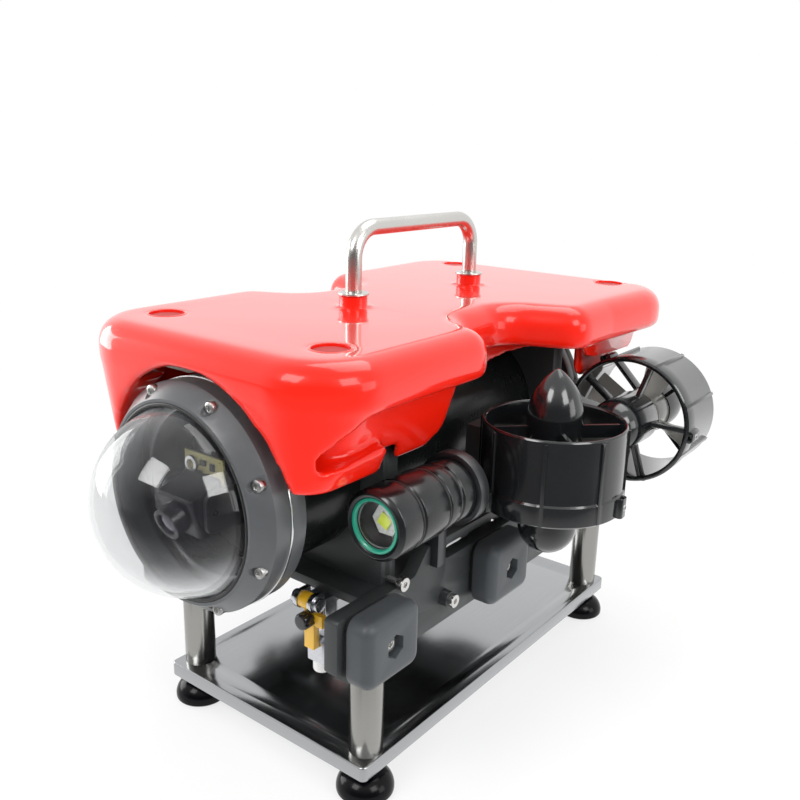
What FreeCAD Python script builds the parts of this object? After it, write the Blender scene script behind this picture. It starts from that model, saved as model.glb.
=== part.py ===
import FreeCAD, Part
import math
import os

from FreeCAD import Vector as V

os.makedirs("parts", exist_ok=True)

# ---------------------------------------------------------------------------
# Driving dimensions, in millimetres. The vehicle faces -Y, +X is its port side
# and the levelling feet stand on z = 0.
# ---------------------------------------------------------------------------

# clearances
seat_gap = 0.3            # between a piece and what it rests against on another body
running_gap = 0.05        # radial clearance of a turning shaft
bolt_gap = 0.2            # radial clearance of a screw in its hole
slip_gap = 0.1            # between nested pieces of one body

# display stand
stand_side_edge = 13.0    # post axis to the plate's side
stand_length = 333.0
stand_fold = 10.0
stand_sheet = 2.0
stand_corner_radius = 4.0
post_radius = 11.0
post_edge_y = 17.2        # post axis to the plate's end
post_height = 60.0        # plate to the cradle floor
post_cradle_depth = 2.4
foot_space = 20.0         # floor to the folded edge
foot_radius = 19.0
foot_top_radius = 9.0
foot_rim = 4.0
foot_height = 15.0
foot_travel = 8.0
foot_stud_radius = 4.0
foot_stud_in_post = 9.0
foot_stud_floor = 2.5     # stud end above the floor
foot_collar_flats = 13.0

# side plates
frame_half_pitch = 80.0   # centre plane of each side plate
frame_thickness = 10.0
frame_front = -183.0
frame_rear = 168.0
frame_arm_height = 46.0
frame_height = 62.0
frame_rise_front = -102.0  # where the low front arm steps up
frame_rise_rear = 96.0
frame_chamfer = 11.0
frame_step_radius = 7.0
slot_front = -76.0
slot_rear = 58.0
slot_height = 10.0
slot_top_margin = 6.0
slot_radius = 3.5

# trays and cross bars
tray_thickness = 6.0
tray_drop = 2.0           # tray top below the arm's top edge
tray_front_y = (-150.0, -60.0)
tray_rear_y = (50.0, 112.0)
tray_bolt_x = 60.0
tray_bolt_y = 40.0
tray_bolt_radius = 2.7
bar_radius = 5.5
bar_stick_out = 6.0
bar_rise = 18.5           # bar axis above the frame's lower edge
bar_y = (-76.0, 66.0)
bar_screw_radius = 2.5
bar_screw_depth = 12.0
screw_head_ratio = 1.8    # socket head radius over shank radius
screw_head_height = 4.0

# bumper pads
pad_length = 51.0
pad_height = 45.0
pad_thickness = 17.0
pad_gasket_thickness = 4.0
pad_gasket_inset = 2.5
pad_round = 7.0
pad_corner = 9.0
pad_rise = 25.5           # pad centre above the frame's lower edge
pad_y = (-154.0, -22.0)
pad_recess_flats = 14.0
pad_recess_depth = 8.0
pad_screw_radius = 2.5

# pressure hull
hull_rise = 110.0         # hull axis above the frame's lower edge
hull_radius = 57.0
hull_wall = 5.0
hull_front = -202.5
hull_rear = 134.0
flange_depth = 13.0       # edge of the front flange outside the hull
flange_radius = hull_radius + flange_depth
flange_front_thickness = 10.5
flange_rear_depth = 9.0
flange_rear_radius = hull_radius + flange_rear_depth
flange_rear_thickness = 9.0
flange_seal_radius = hull_radius + 4.0
seal_section = 1.5
shim_thickness = 1.5
shim_rim = 0.6            # shim edge outside the flange
shim_radius = flange_radius + shim_rim
flange_screw_edge = 4.0   # screw axis to the flange edge
rear_screw_edge = 3.8
screw_circle = flange_radius - flange_screw_edge
rear_screw_circle = flange_rear_radius - rear_screw_edge
flange_screw_count = 8
flange_screw_radius = 2.0
flange_screw_grip = 7.0

# dome and its retaining ring
dome_radius = hull_radius
dome_wall = 3.0
dome_centre = -215.2
dome_foot_depth = 5.0
dome_foot_radius = dome_radius + dome_foot_depth
dome_foot_thickness = 4.0
ring_thickness = 11.0
ring_lip_height = 11.0
ring_dome_gap = 2.5       # open groove between the dome and its ring
ring_lip_width = 2.0
ring_bore_radius = dome_radius + ring_dome_gap
ring_lip_radius = ring_bore_radius + ring_lip_width
ring_screw_depth = 1.7    # screw seat behind the ring's front edge

# rear cap
cap_thickness = 8.0
cap_plug_depth = 8.0
cap_port_circle = 38.0
cap_port_count = 6
cap_port_radius = 5.0
port_head_radius = 8.0
port_head_length = 9.0
port_neck_radius = 4.0
port_neck_length = 6.0
gland_radius = 9.0
gland_nut_radius = 8.0
gland_length = 26.0
gland_bore_radius = 3.9
gland_thread_radius = 6.0
vent_y = -176.0
vent_radius = 5.0
vent_length = 7.0

# hull bulkheads
bulkhead_thickness = 14.0
bulkhead_y = (-124.0, 82.0)
bulkhead_crown = 7.0      # web left above the hull

# electronics inside the hull
chassis_width = 84.0
chassis_thickness = 3.0
chassis_drop = 14.0       # chassis top below the hull axis
chassis_disc_thickness = 4.0
chassis_front = -172.0
chassis_rear = 112.0
battery_width = 60.0
battery_length = 150.0
battery_offset = 15.0     # middle of the pack behind the middle of the tray
battery_clearance = 1.5
board_inset = 40.0
board_size = (56.0, 96.0, 1.6)
board_standoff = 6.0
camera_arm_spacing = 40.0
camera_arm_thickness = 3.0
camera_arm_height = 26.0
camera_pivot_y = -214.0
camera_pivot_drop = 4.0
camera_pin_radius = 2.0
camera_body_size = (30.0, 26.0, 28.0)
camera_barrel_radius = 10.0
camera_barrel_length = 9.0
camera_lens_radius = 7.0
camera_rest_tilt = 18.0   # nose-down angle as it is parked
camera_reach = 12.0       # body front ahead of the pivot
servo_size = (12.0, 24.0, 22.0)
sensor_board_size = (1.6, 26.0, 30.0)
sensor_board_x = 34.0
sensor_board_y = -180.0

# shell
deck_rise = 93.5          # deck top above the hull axis
band_height = 29.0
shell_wall = 4.0
shell_front = -217.0
shell_rear = 172.0
shell_front_half = 109.0
shell_waist_half = 68.5
shell_rear_half = 119.0
shell_taper_start = -69.0
shell_waist_front = -50.0
shell_waist_rear = 10.0
shell_flare_end = 30.0
shell_corner_radius = 44.0
shell_rear_radius = 36.0
shell_shoulder_radius = 20.0
shell_waist_radius = 26.0
shell_waist_limit = 38.0
deck_round = 15.0
band_round = 6.0
skirt_inset_top = 0.5
skirt_inset_bottom = 25.0
skirt_front_inset = 7.0   # lean of the front face
scoop_inset_top = 14.0    # floor of the scooped sides
scoop_inset_bottom = 30.0
scoop_front = -203.0
scoop_lip_height = 12.0
scoop_lip_rise = 6.0
skirt_drop = 73.0         # deck to the lower edge of the front skirt
skirt_waist_drop = 48.0   # deck to the lower edge at the waist
skirt_end = -76.0
skirt_notch_front = -152.0
skirt_notch_rear = -129.0
skirt_notch_height = 11.0
skirt_end_radius = 22.0
nose_wall = 24.0          # depth of the front face
nose_corner_radius = 15.0
arch_gap = 8.0
waist_inset_share = 0.6   # how far the waist walls follow an inset
rear_skirt_x = 85.5
rear_skirt_y = (92.0, 150.0)
rear_skirt_drop = 66.0
recess_radius = 11.0
recess_depth = 7.0
shell_screw_front = (70.0, -172.5)
shell_screw_rear = (76.0, 158.6)
shell_screw_radius = 2.5
rail_width = 10.0
rail_height = 9.0
foam_drop = 22.0
foam_inset = 22.0

# handle
handle_front = -72.9
handle_rear = 65.6
handle_tube_radius = 5.5
handle_rise = 52.6        # bar axis above the deck
handle_bend = 20.0
boss_radius = 9.3
boss_height = 9.0
washer_radius = 10.5
washer_thickness = 1.5
handle_nut_flats = 17.0
handle_nut_height = 7.0

# thruster unit, drawn with its axis along +Z and the guide-vane rim at z = 0
duct_radius = 47.5
duct_wall = 2.6
duct_length = 57.0
duct_lip = 1.2
duct_band_height = 15.0
duct_band_step = 1.2
duct_rib_count = 8
duct_rib_width = 2.4
duct_rib_depth = 1.4
lug_count = 3
lug_angle = 4.0
lug_width = 9.0
lug_depth = 4.8
lug_height = 13.0
lug_screw_radius = 1.6
vane_count = 4
vane_thickness = 3.0
vane_top = 4.0
vane_height = 9.0
cone_radius = 18.5
cone_height = 34.0
cone_tip_radius = 1.0
cone_skirt = 16.0
pod_radius = 20.0
pod_reach = 37.0
pod_top = 14.0            # pod's flat end above the lower rim
strut_count = 5
strut_thickness = 3.2
strut_height = 8.0
blade_count = 4
blade_root_width = 17.0
blade_tip_width = 27.0
blade_thickness = 2.4
blade_pitch_root = 52.0
blade_pitch_tip = 26.0
blade_tip_gap = 1.2
propeller_height = 17.0
shaft_radius = 2.5
shaft_grip = 8.0

# thruster positions
duct_side_gap = 0.5       # duct wall outside the side plate's middle
thruster_x = frame_half_pitch + duct_radius + duct_side_gap
vertical_y = -18.0
vertical_rise = 29.5      # rim above the hull axis
rear_lip_y = 98.0
rear_rise = 1.5           # thrust axis above the hull axis
arm_thickness = 6.0
arm_width = 30.0
arm_saddle_height = 34.0
arm_overlap = 28.0        # how far the arm runs down the side plate
arm_screw_radius = 2.0
arm_screw_grip = 7.0

# lamps
lamp_x = 98.0
lamp_front = -168.0
lamp_drop = 5.0           # lamp axis below the hull axis
lamp_radius = 21.5
lamp_length = 88.0
lamp_rear_radius = 20.1
lamp_tail = 4.0           # chamfered tail behind the clamp
lamp_bezel_outer = 16.6
lamp_bezel_inner = 14.2
lamp_bezel_depth = 2.2
lamp_cup_depth = 13.0
lamp_lens_thickness = 2.0
lamp_lens_depth = 4.0
led_star_radius = 9.4
led_star_thickness = 1.5
led_chip_radius = 5.5
led_chip_height = 2.5
lamp_clamp_width = 9.0
lamp_clamp_thickness = 3.5
lamp_leg_drop = 14.0

# tool clamp
clamp_x = 44.0
clamp_y = -158.0
clamp_width = 15.0
clamp_depth = 14.0
clamp_length = 46.0
jaw_width = 8.0
jaw_thickness = 5.0
jaw_length = 34.0
jaw_tab = 7.0
clamp_pin_radius = 2.5
clamp_eye_radius = 6.0
knob_radius = 5.5
knob_length = 8.0
knob_shank_radius = 2.0
knob_drop = 12.5
nylon_radius = 6.0
nylon_height = 9.0

# ---------------------------------------------------------------------------
# Levels and planes that follow from the dimensions above.
# ---------------------------------------------------------------------------
stand_width = 2 * (frame_half_pitch + stand_side_edge)
plate_top = foot_space + stand_fold
frame_bottom = plate_top + post_height + seat_gap
arm_top = frame_bottom + frame_arm_height
frame_top = frame_bottom + frame_height
frame_outer = frame_half_pitch + frame_thickness / 2
frame_inner = frame_half_pitch - frame_thickness / 2
tray_top = arm_top - tray_drop
tray_bottom = tray_top - tray_thickness
hull_axis = frame_bottom + hull_rise
hull_inner = hull_radius - hull_wall
deck_top = hull_axis + deck_rise
deck_under = deck_top - shell_wall
band_bottom = deck_top - band_height
rail_top = deck_top - recess_depth - shell_wall
rail_bottom = rail_top - rail_height
shim_front = hull_front - shim_thickness
ring_front = shim_front - ring_thickness
ring_lip_front = ring_front - ring_lip_height
post_y = stand_length / 2 - post_edge_y
lamp_axis = hull_axis - lamp_drop
cap_front = hull_rear
cap_rear = cap_front + cap_thickness
vertical_rim = hull_axis + vertical_rise
rear_axis = hull_axis + rear_rise
gland_tip = cap_rear + gland_length
cone_tip = rear_lip_y + duct_length + cone_height
dome_tip = dome_centre - dome_radius
centre_y = (dome_tip + max(cone_tip, shell_rear)) / 2


# ---------------------------------------------------------------------------
# Small geometry helpers.
# ---------------------------------------------------------------------------
X_AXIS, Y_AXIS, Z_AXIS = V(1, 0, 0), V(0, 1, 0), V(0, 0, 1)


def box(x0, x1, y0, y1, z0, z1):
    return Part.makeBox(x1 - x0, y1 - y0, z1 - z0, V(x0, y0, z0))


def rod_z(radius, x, y, z0, z1):
    return Part.makeCylinder(radius, z1 - z0, V(x, y, z0), Z_AXIS)


def rod_y(radius, x, y0, y1, z):
    return Part.makeCylinder(radius, y1 - y0, V(x, y0, z), Y_AXIS)


def rod_x(radius, x0, x1, y, z):
    return Part.makeCylinder(radius, x1 - x0, V(x0, y, z), X_AXIS)


def revolve_y(profile, x=0.0, z=0.0):
    """Solid of revolution about Y from a closed list of (radius, y) corners."""
    corners = [V(r, y, 0) for r, y in profile]
    face = Part.Face(Part.makePolygon(corners + corners[:1]))
    solid = face.revolve(V(0, 0, 0), Y_AXIS, 360)
    return solid.translate(V(x, 0, z))


def revolve_z(profile, x=0.0, y=0.0):
    """Solid of revolution about Z from a closed list of (radius, z) corners."""
    corners = [V(r, 0, z) for r, z in profile]
    face = Part.Face(Part.makePolygon(corners + corners[:1]))
    solid = face.revolve(V(0, 0, 0), Z_AXIS, 360)
    return solid.translate(V(x, y, 0))


def hex_prism(flats, height, base, direction):
    """Hexagonal prism standing on base along direction."""
    radius = flats / math.sqrt(3)
    turns = [math.radians(60 * i) for i in range(6)]
    corners = [V(radius * math.cos(a), radius * math.sin(a), 0) for a in turns]
    prism = Part.Face(Part.makePolygon(corners + corners[:1])).extrude(V(0, 0, height))
    prism.Placement = FreeCAD.Placement(base, FreeCAD.Rotation(Z_AXIS, direction))
    return prism


def socket_screw(shank, length, base, direction, head_height=screw_head_height):
    """Cap screw: head on the base side, shank running along direction."""
    head = shank * screw_head_ratio
    body = Part.makeCylinder(head, head_height, base - direction * head_height, direction)
    body = body.fuse(Part.makeCylinder(shank, length, base, direction))
    socket = hex_prism(shank * 1.5, head_height / 2, base - direction * head_height, direction)
    return body.cut(socket)


def rounded_outline(corners, z):
    """Closed wire through (x, y, radius) corners, each rounded by an arc."""
    edges, joints = [], []
    count = len(corners)
    for i in range(count):
        here = V(corners[i][0], corners[i][1], z)
        before = V(corners[i - 1][0], corners[i - 1][1], z)
        after = V(corners[(i + 1) % count][0], corners[(i + 1) % count][1], z)
        into, out = (here - before).normalize(), (after - here).normalize()
        turn = into.getAngle(out)
        cut_back = corners[i][2] * math.tan(turn / 2)
        start, end = here - into * cut_back, here + out * cut_back
        to_centre = (out - into).normalize()
        centre = here + to_centre * (corners[i][2] / math.cos(turn / 2))
        middle = centre - to_centre * corners[i][2]
        joints.append((start, end))
        edges.append(Part.Arc(start, middle, end).toShape())
    wire_edges = []
    for i in range(count):
        wire_edges.append(Part.LineSegment(joints[i - 1][1], joints[i][0]).toShape())
        wire_edges.append(edges[i])
    return Part.Wire(wire_edges)


def rounded_plate_x(corners, x0, x1):
    """Plate between x0 and x1 from (y, z, radius) corners, 0 leaving a sharp one."""
    points = [(y, z, max(radius, 0.01)) for y, z, radius in corners]
    wire = rounded_outline(points, 0)
    turn = FreeCAD.Placement(V(x0, 0, 0), FreeCAD.Rotation(V(0, 1, 0), V(0, 0, 1), V(1, 0, 0), "XYZ"))
    wire.Placement = turn
    return Part.Face(wire).extrude(V(x1 - x0, 0, 0))


def mirrored(shape):
    return shape.mirror(V(0, 0, 0), X_AXIS)


def both_sides(shape):
    return [shape, mirrored(shape)]


def fused(shapes):
    whole = shapes[0].multiFuse(shapes[1:]) if len(shapes) > 1 else shapes[0]
    return whole.removeSplitter()


def export(node, *shapes):
    """Write one node, moved so that the part is centred on the origin."""
    solids = [solid for shape in shapes for solid in shape.Solids]
    whole = solids[0] if len(solids) == 1 else Part.makeCompound(solids)
    whole = whole.copy()
    whole.translate(V(0, -centre_y, 0))
    whole.exportStep("parts/%s.step" % node)


# ---------------------------------------------------------------------------
# Stand: folded plate, posts, studs and levelling feet.
# ---------------------------------------------------------------------------
def corner_points():
    return [(sx * frame_half_pitch, sy * post_y) for sx in (1, -1) for sy in (-1, 1)]


def make_stand_plate():
    half_w, half_l = stand_width / 2, stand_length / 2
    pan = box(-half_w, half_w, -half_l, half_l, foot_space, plate_top)
    uprights = [e for e in pan.Edges if abs(e.tangentAt(e.FirstParameter).z) > 0.9]
    pan = pan.makeFillet(stand_corner_radius, uprights)
    upper = [e for e in pan.Edges if e.BoundBox.ZMin > plate_top - 0.01]
    pan = pan.makeFillet(stand_sheet * 0.6, upper)
    inner_w, inner_l = half_w - stand_sheet, half_l - stand_sheet
    hollow = box(-inner_w, inner_w, -inner_l, inner_l, foot_space, plate_top - stand_sheet)
    pan = pan.cut(hollow)
    for x, y in corner_points():
        pan = pan.cut(rod_z(foot_stud_radius + slip_gap, x, y, foot_space, plate_top))
    return pan


def make_posts():
    posts = []
    top = plate_top + post_height + post_cradle_depth
    for x, y in corner_points():
        post = rod_z(post_radius, x, y, plate_top, top)
        rim = [e for e in post.Edges if e.BoundBox.ZMin > top - 0.01]
        post = post.makeFillet(1.0, rim)
        half_slot = frame_thickness / 2 + seat_gap
        slot = box(x - half_slot, x + half_slot, y - post_radius, y + post_radius,
                   top - post_cradle_depth, top)
        bore = rod_z(foot_stud_radius + slip_gap, x, y, plate_top, plate_top + foot_stud_in_post)
        posts.append(post.cut(slot).cut(bore))
    return posts


def make_foot_studs():
    studs = []
    collar_bottom = foot_height + seat_gap
    for x, y in corner_points():
        stud = rod_z(foot_stud_radius, x, y, foot_stud_floor, plate_top + foot_stud_in_post)
        collar = hex_prism(foot_collar_flats, plate_top - stand_sheet - collar_bottom,
                           V(x, y, collar_bottom), Z_AXIS)
        studs.append(stud.fuse(collar).removeSplitter())
    return studs


def make_foot(x, y):
    dome = Part.Arc(V(foot_radius, 0, foot_rim),
                    V((foot_radius + foot_top_radius) / 2 + 1.6, 0, foot_height * 0.74),
                    V(foot_top_radius, 0, foot_height)).toShape()
    rest = Part.makePolygon([V(foot_top_radius, 0, foot_height), V(0, 0, foot_height), V(0, 0, 0),
                             V(foot_radius - 1, 0, 0), V(foot_radius, 0, 1),
                             V(foot_radius, 0, foot_rim)])
    foot = Part.Face(Part.Wire([dome] + rest.Edges)).revolve(V(0, 0, 0), Z_AXIS, 360)
    foot.translate(V(x, y, 0))
    bore_floor = foot_stud_floor - seat_gap
    return foot.cut(rod_z(foot_stud_radius + running_gap, x, y, bore_floor, foot_height))


# ---------------------------------------------------------------------------
# Frame: side plates, trays, cross bars, screws and bumper pads.
# ---------------------------------------------------------------------------
def make_side_plate():
    step = frame_step_radius
    corners = [
        (frame_front, frame_bottom + frame_chamfer, 2), (frame_front + frame_chamfer, frame_bottom, 2),
        (frame_rear - frame_chamfer, frame_bottom, 2), (frame_rear, frame_bottom + frame_chamfer, 2),
        (frame_rear, arm_top, 3), (frame_rise_rear + step, arm_top, step),
        (frame_rise_rear - step, frame_top, step), (frame_rise_front + step, frame_top, step),
        (frame_rise_front - step, arm_top, step), (frame_front, arm_top, 3)]
    plate = rounded_plate_x(corners, frame_inner, frame_outer)
    slot_top = frame_top - slot_top_margin
    slot = [(slot_front, slot_top - slot_height, slot_radius), (slot_rear, slot_top - slot_height, slot_radius),
            (slot_rear, slot_top, slot_radius), (slot_front, slot_top, slot_radius)]
    plate = plate.cut(rounded_plate_x(slot, frame_inner, frame_outer))
    for y in bar_y:
        plate = plate.cut(rod_x(bar_radius + slip_gap, frame_inner, frame_outer, y, frame_bottom + bar_rise))
    for y in pad_y:
        plate = plate.cut(rod_x(pad_screw_radius + slip_gap, frame_inner, frame_outer,
                                y, frame_bottom + pad_rise))
    for y in bulkhead_y:
        plate = plate.cut(rod_x(bar_screw_radius + slip_gap, frame_inner, frame_outer,
                                y, bulkhead_screw_z()))
    for y, _ in arm_stations():
        for side in (-1, 1):
            plate = plate.cut(rod_x(arm_screw_radius + slip_gap, frame_inner, frame_inner + arm_screw_grip,
                                    y + side * arm_width / 4, arm_screw_z()))
    return plate


def bulkhead_screw_z():
    return arm_top + tray_drop


def make_trays():
    trays = []
    for y0, y1 in (tray_front_y, tray_rear_y):
        tray = box(-frame_inner, frame_inner, y0, y1, tray_bottom, tray_top)
        middle = (y0 + y1) / 2
        for sx in (-1, 1):
            for sy in (-1, 1):
                tray = tray.cut(rod_z(tray_bolt_radius, sx * tray_bolt_x / 2,
                                      middle + sy * tray_bolt_y / 2, tray_bottom, tray_top))
        trays.append(tray)
    return trays


def make_cross_bars():
    bars = []
    reach = frame_outer + bar_stick_out
    for y in bar_y:
        bar = rod_x(bar_radius, -reach, reach, y, frame_bottom + bar_rise)
        for side in (-1, 1):
            start = V(side * reach, y, frame_bottom + bar_rise)
            bar = bar.cut(Part.makeCylinder(bar_screw_radius + slip_gap, bar_screw_depth, start,
                                            V(-side, 0, 0)))
        bars.append(bar)
    return bars


def make_frame_screws():
    screws = []
    reach = frame_outer + bar_stick_out
    for y in bar_y:
        screws.append(socket_screw(bar_screw_radius, bar_screw_depth - 1,
                                   V(reach, y, frame_bottom + bar_rise), -X_AXIS))
    for y in bulkhead_y:
        screws.append(socket_screw(bar_screw_radius, frame_thickness + bar_screw_depth - 1,
                                   V(frame_outer, y, bulkhead_screw_z()), -X_AXIS))
    return screws + [mirrored(screw) for screw in screws]


def pad_block(y, inset, x0, x1):
    half_l, half_h = pad_length / 2 - inset, pad_height / 2 - inset
    z = frame_bottom + pad_rise
    corners = [(y - half_l, z - half_h, pad_corner), (y + half_l, z - half_h, pad_corner),
               (y + half_l, z + half_h, pad_corner), (y - half_l, z + half_h, pad_corner)]
    return rounded_plate_x(corners, x0, x1)


def make_pads():
    gaskets, pads, screws = [], [], []
    pad_inner = frame_outer + pad_gasket_thickness
    pad_outer = pad_inner + pad_thickness
    z = frame_bottom + pad_rise
    for y in pad_y:
        hole = rod_x(pad_screw_radius + slip_gap, frame_outer, pad_outer, y, z)
        gasket = pad_block(y, pad_gasket_inset, frame_outer, pad_inner)
        gaskets += both_sides(gasket.cut(hole))
        pad = pad_block(y, 0, pad_inner, pad_outer)
        rim = [e for e in pad.Edges if e.BoundBox.XMin > pad_outer - 0.01]
        pad = pad.makeFillet(pad_round, rim)
        recess = hex_prism(pad_recess_flats, pad_recess_depth, V(pad_outer, y, z), -X_AXIS)
        pads += both_sides(pad.cut(hole).cut(recess))
        seat = V(pad_outer - pad_recess_depth, y, z)
        reach = pad_thickness - pad_recess_depth + pad_gasket_thickness + frame_thickness - 1
        screws += both_sides(socket_screw(pad_screw_radius, reach, seat, -X_AXIS))
    return gaskets, pads, screws


# ---------------------------------------------------------------------------
# Pressure hull, flanges, dome and rear cap.
# ---------------------------------------------------------------------------
def screw_angles():
    step = 360.0 / flange_screw_count
    return [math.radians(step * (i + 0.5)) for i in range(flange_screw_count)]


def on_circle(radius, angle, y):
    return V(radius * math.cos(angle), y, hull_axis + radius * math.sin(angle))


def make_hull_tube():
    tube = rod_y(hull_radius, 0, hull_front, hull_rear, hull_axis)
    tube = tube.cut(rod_y(hull_inner, 0, hull_front, hull_rear, hull_axis))
    port = Part.makeCylinder(vent_radius - 2 + slip_gap, hull_wall + 2,
                             V(0, vent_y, hull_axis - hull_radius - 1), Z_AXIS)
    return tube.cut(port)


def hull_flange(outer, y0, y1, seal_y):
    flange = rod_y(outer, 0, y0, y1, hull_axis).cut(rod_y(hull_radius + slip_gap, 0, y0, y1, hull_axis))
    groove = Part.makeTorus(flange_seal_radius, seal_section, V(0, seal_y, hull_axis), Y_AXIS)
    return flange.cut(groove)


def make_flanges():
    front = hull_flange(flange_radius, hull_front, hull_front + flange_front_thickness, hull_front)
    rear_face = hull_rear - flange_rear_thickness
    rear = hull_flange(flange_rear_radius, rear_face, hull_rear, rear_face - 10 * seal_section)
    rear = rear.cut(Part.makeTorus(hull_radius + seal_section, seal_section,
                                   V(0, hull_rear, hull_axis), Y_AXIS))
    for angle in screw_angles():
        front = front.cut(Part.makeCylinder(flange_screw_radius + slip_gap, flange_screw_grip + 1,
                                            on_circle(screw_circle, angle, hull_front), Y_AXIS))
        rear = rear.cut(Part.makeCylinder(flange_screw_radius + slip_gap, flange_screw_grip + 1,
                                          on_circle(rear_screw_circle, angle, hull_rear), -Y_AXIS))
    return front, rear


def make_seals():
    section = seal_section - slip_gap
    front = Part.makeTorus(flange_seal_radius, section, V(0, hull_front, hull_axis), Y_AXIS)
    rear = Part.makeTorus(hull_radius + seal_section, section, V(0, hull_rear, hull_axis), Y_AXIS)
    return [front.common(rod_y(flange_radius, 0, hull_front, hull_rear, hull_axis)),
            rear.common(rod_y(flange_radius, 0, hull_front, hull_rear, hull_axis))]


def make_shim():
    shim = rod_y(shim_radius, 0, shim_front, hull_front, hull_axis)
    shim = shim.cut(rod_y(hull_inner, 0, shim_front, hull_front, hull_axis))
    for angle in screw_angles():
        shim = shim.cut(Part.makeCylinder(flange_screw_radius + bolt_gap, shim_thickness,
                                          on_circle(screw_circle, angle, shim_front), Y_AXIS))
    return shim


def ring_screw_seat():
    """Plane on the sloping ring where the screw heads are let in."""
    return ring_front - ring_screw_depth


def make_dome_ring():
    foot_back = shim_front - dome_foot_thickness - slip_gap
    profile = [(flange_radius, shim_front), (flange_radius, ring_front),
               (ring_lip_radius, ring_lip_front), (ring_bore_radius, ring_lip_front),
               (ring_bore_radius, foot_back), (dome_foot_radius + slip_gap, foot_back),
               (dome_foot_radius + slip_gap, shim_front)]
    ring = revolve_y(profile, 0, hull_axis)
    head = flange_screw_radius * screw_head_ratio
    for angle in screw_angles():
        seat = on_circle(screw_circle, angle, ring_screw_seat())
        ring = ring.cut(Part.makeCylinder(head + slip_gap, ring_lip_height, seat, -Y_AXIS))
        ring = ring.cut(Part.makeCylinder(flange_screw_radius + bolt_gap, shim_front - seat.y, seat, Y_AXIS))
    return ring


def make_dome():
    inner = dome_radius - dome_wall
    neck_end = shim_front
    centre = V(0, dome_centre, hull_axis)
    front = box(-dome_radius, dome_radius, dome_centre - dome_radius, dome_centre,
                hull_axis - dome_radius, hull_axis + dome_radius)
    outer_solid = Part.makeSphere(dome_radius, centre).common(front)
    outer_solid = outer_solid.fuse(rod_y(dome_radius, 0, dome_centre, neck_end, hull_axis))
    outer_solid = outer_solid.fuse(rod_y(dome_foot_radius, 0, neck_end - dome_foot_thickness,
                                         neck_end, hull_axis))
    inner_solid = Part.makeSphere(inner, centre).common(front)
    inner_solid = inner_solid.fuse(rod_y(inner, 0, dome_centre, neck_end, hull_axis))
    return outer_solid.removeSplitter().cut(inner_solid.removeSplitter())


def make_dome_screws():
    screws = []
    reach = shim_front + shim_thickness + flange_screw_grip - ring_screw_seat()
    for angle in screw_angles():
        screws.append(socket_screw(flange_screw_radius, reach,
                                   on_circle(screw_circle, angle, ring_screw_seat()), Y_AXIS))
    return screws


def cap_ports():
    turns = [math.radians(360.0 / cap_port_count * i) for i in range(cap_port_count)]
    return [(cap_port_circle * math.cos(a), hull_axis + cap_port_circle * math.sin(a)) for a in turns]


def make_rear_cap():
    cap = rod_y(flange_rear_radius, 0, cap_front, cap_rear, hull_axis)
    rim = [e for e in cap.Edges if e.BoundBox.YMin > cap_rear - 0.01]
    cap = cap.makeFillet(1.5, rim)
    plug = rod_y(hull_inner - slip_gap, 0, cap_front - cap_plug_depth, cap_front, hull_axis)
    cap = cap.fuse(plug).removeSplitter()
    for x, z in cap_ports():
        cap = cap.cut(rod_y(cap_port_radius, x, cap_front - cap_plug_depth, cap_rear, z))
    cap = cap.cut(rod_y(gland_thread_radius, 0, cap_front - cap_plug_depth, cap_rear, hull_axis))
    for angle in screw_angles():
        cap = cap.cut(Part.makeCylinder(flange_screw_radius + bolt_gap, cap_thickness,
                                        on_circle(rear_screw_circle, angle, cap_front), Y_AXIS))
    return cap


def make_cap_screws():
    return [socket_screw(flange_screw_radius, cap_thickness + flange_screw_grip,
                         on_circle(rear_screw_circle, angle, cap_rear), -Y_AXIS)
            for angle in screw_angles()]


def make_penetrators():
    plugs = []
    for x, z in cap_ports():
        stem = rod_y(cap_port_radius - slip_gap, x, cap_front - cap_plug_depth, cap_rear, z)
        head = hex_prism(2 * port_head_radius * 0.9, port_head_length * 0.6, V(x, cap_rear, z), Y_AXIS)
        collar_end = cap_rear + port_head_length
        collar = rod_y(port_head_radius * 0.8, x, cap_rear, collar_end, z)
        neck = rod_y(port_neck_radius, x, collar_end, collar_end + port_neck_length, z)
        tip = [e for e in neck.Edges if e.BoundBox.YMin > collar_end + port_neck_length - 0.01]
        neck = neck.makeFillet(port_neck_radius * 0.6, tip)
        plugs.append(fused([stem, head, collar, neck]))
    return plugs


def make_tether_gland():
    base = hex_prism(2 * gland_radius, gland_length * 0.3, V(0, cap_rear, hull_axis), Y_AXIS)
    nut_profile = [(0, cap_rear), (gland_nut_radius, cap_rear), (gland_nut_radius, gland_tip - 6),
                   (gland_bore_radius + 2.2, gland_tip), (0, gland_tip)]
    nut = revolve_y(nut_profile, 0, hull_axis)
    stem = rod_y(gland_thread_radius - slip_gap, 0, cap_front - cap_plug_depth, cap_rear, hull_axis)
    body = fused([base, nut, stem])
    return body.cut(rod_y(gland_bore_radius, 0, cap_front, gland_tip, hull_axis))


def make_vent_plug():
    seat = hull_axis - hull_radius
    head = rod_z(vent_radius, 0, vent_y, seat - vent_length, seat - 1)
    lower = [e for e in head.Edges if e.BoundBox.ZMax < seat - vent_length + 0.01]
    head = head.makeFillet(2.0, lower)
    stem = rod_z(vent_radius - 2, 0, vent_y, seat - 1, seat + hull_wall - 1)
    curved = rod_z(vent_radius, 0, vent_y, seat - 1, seat + 2)
    curved = curved.cut(rod_y(hull_radius, 0, vent_y - 2 * vent_radius, vent_y + 2 * vent_radius, hull_axis))
    return fused([head, stem, curved])


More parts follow.
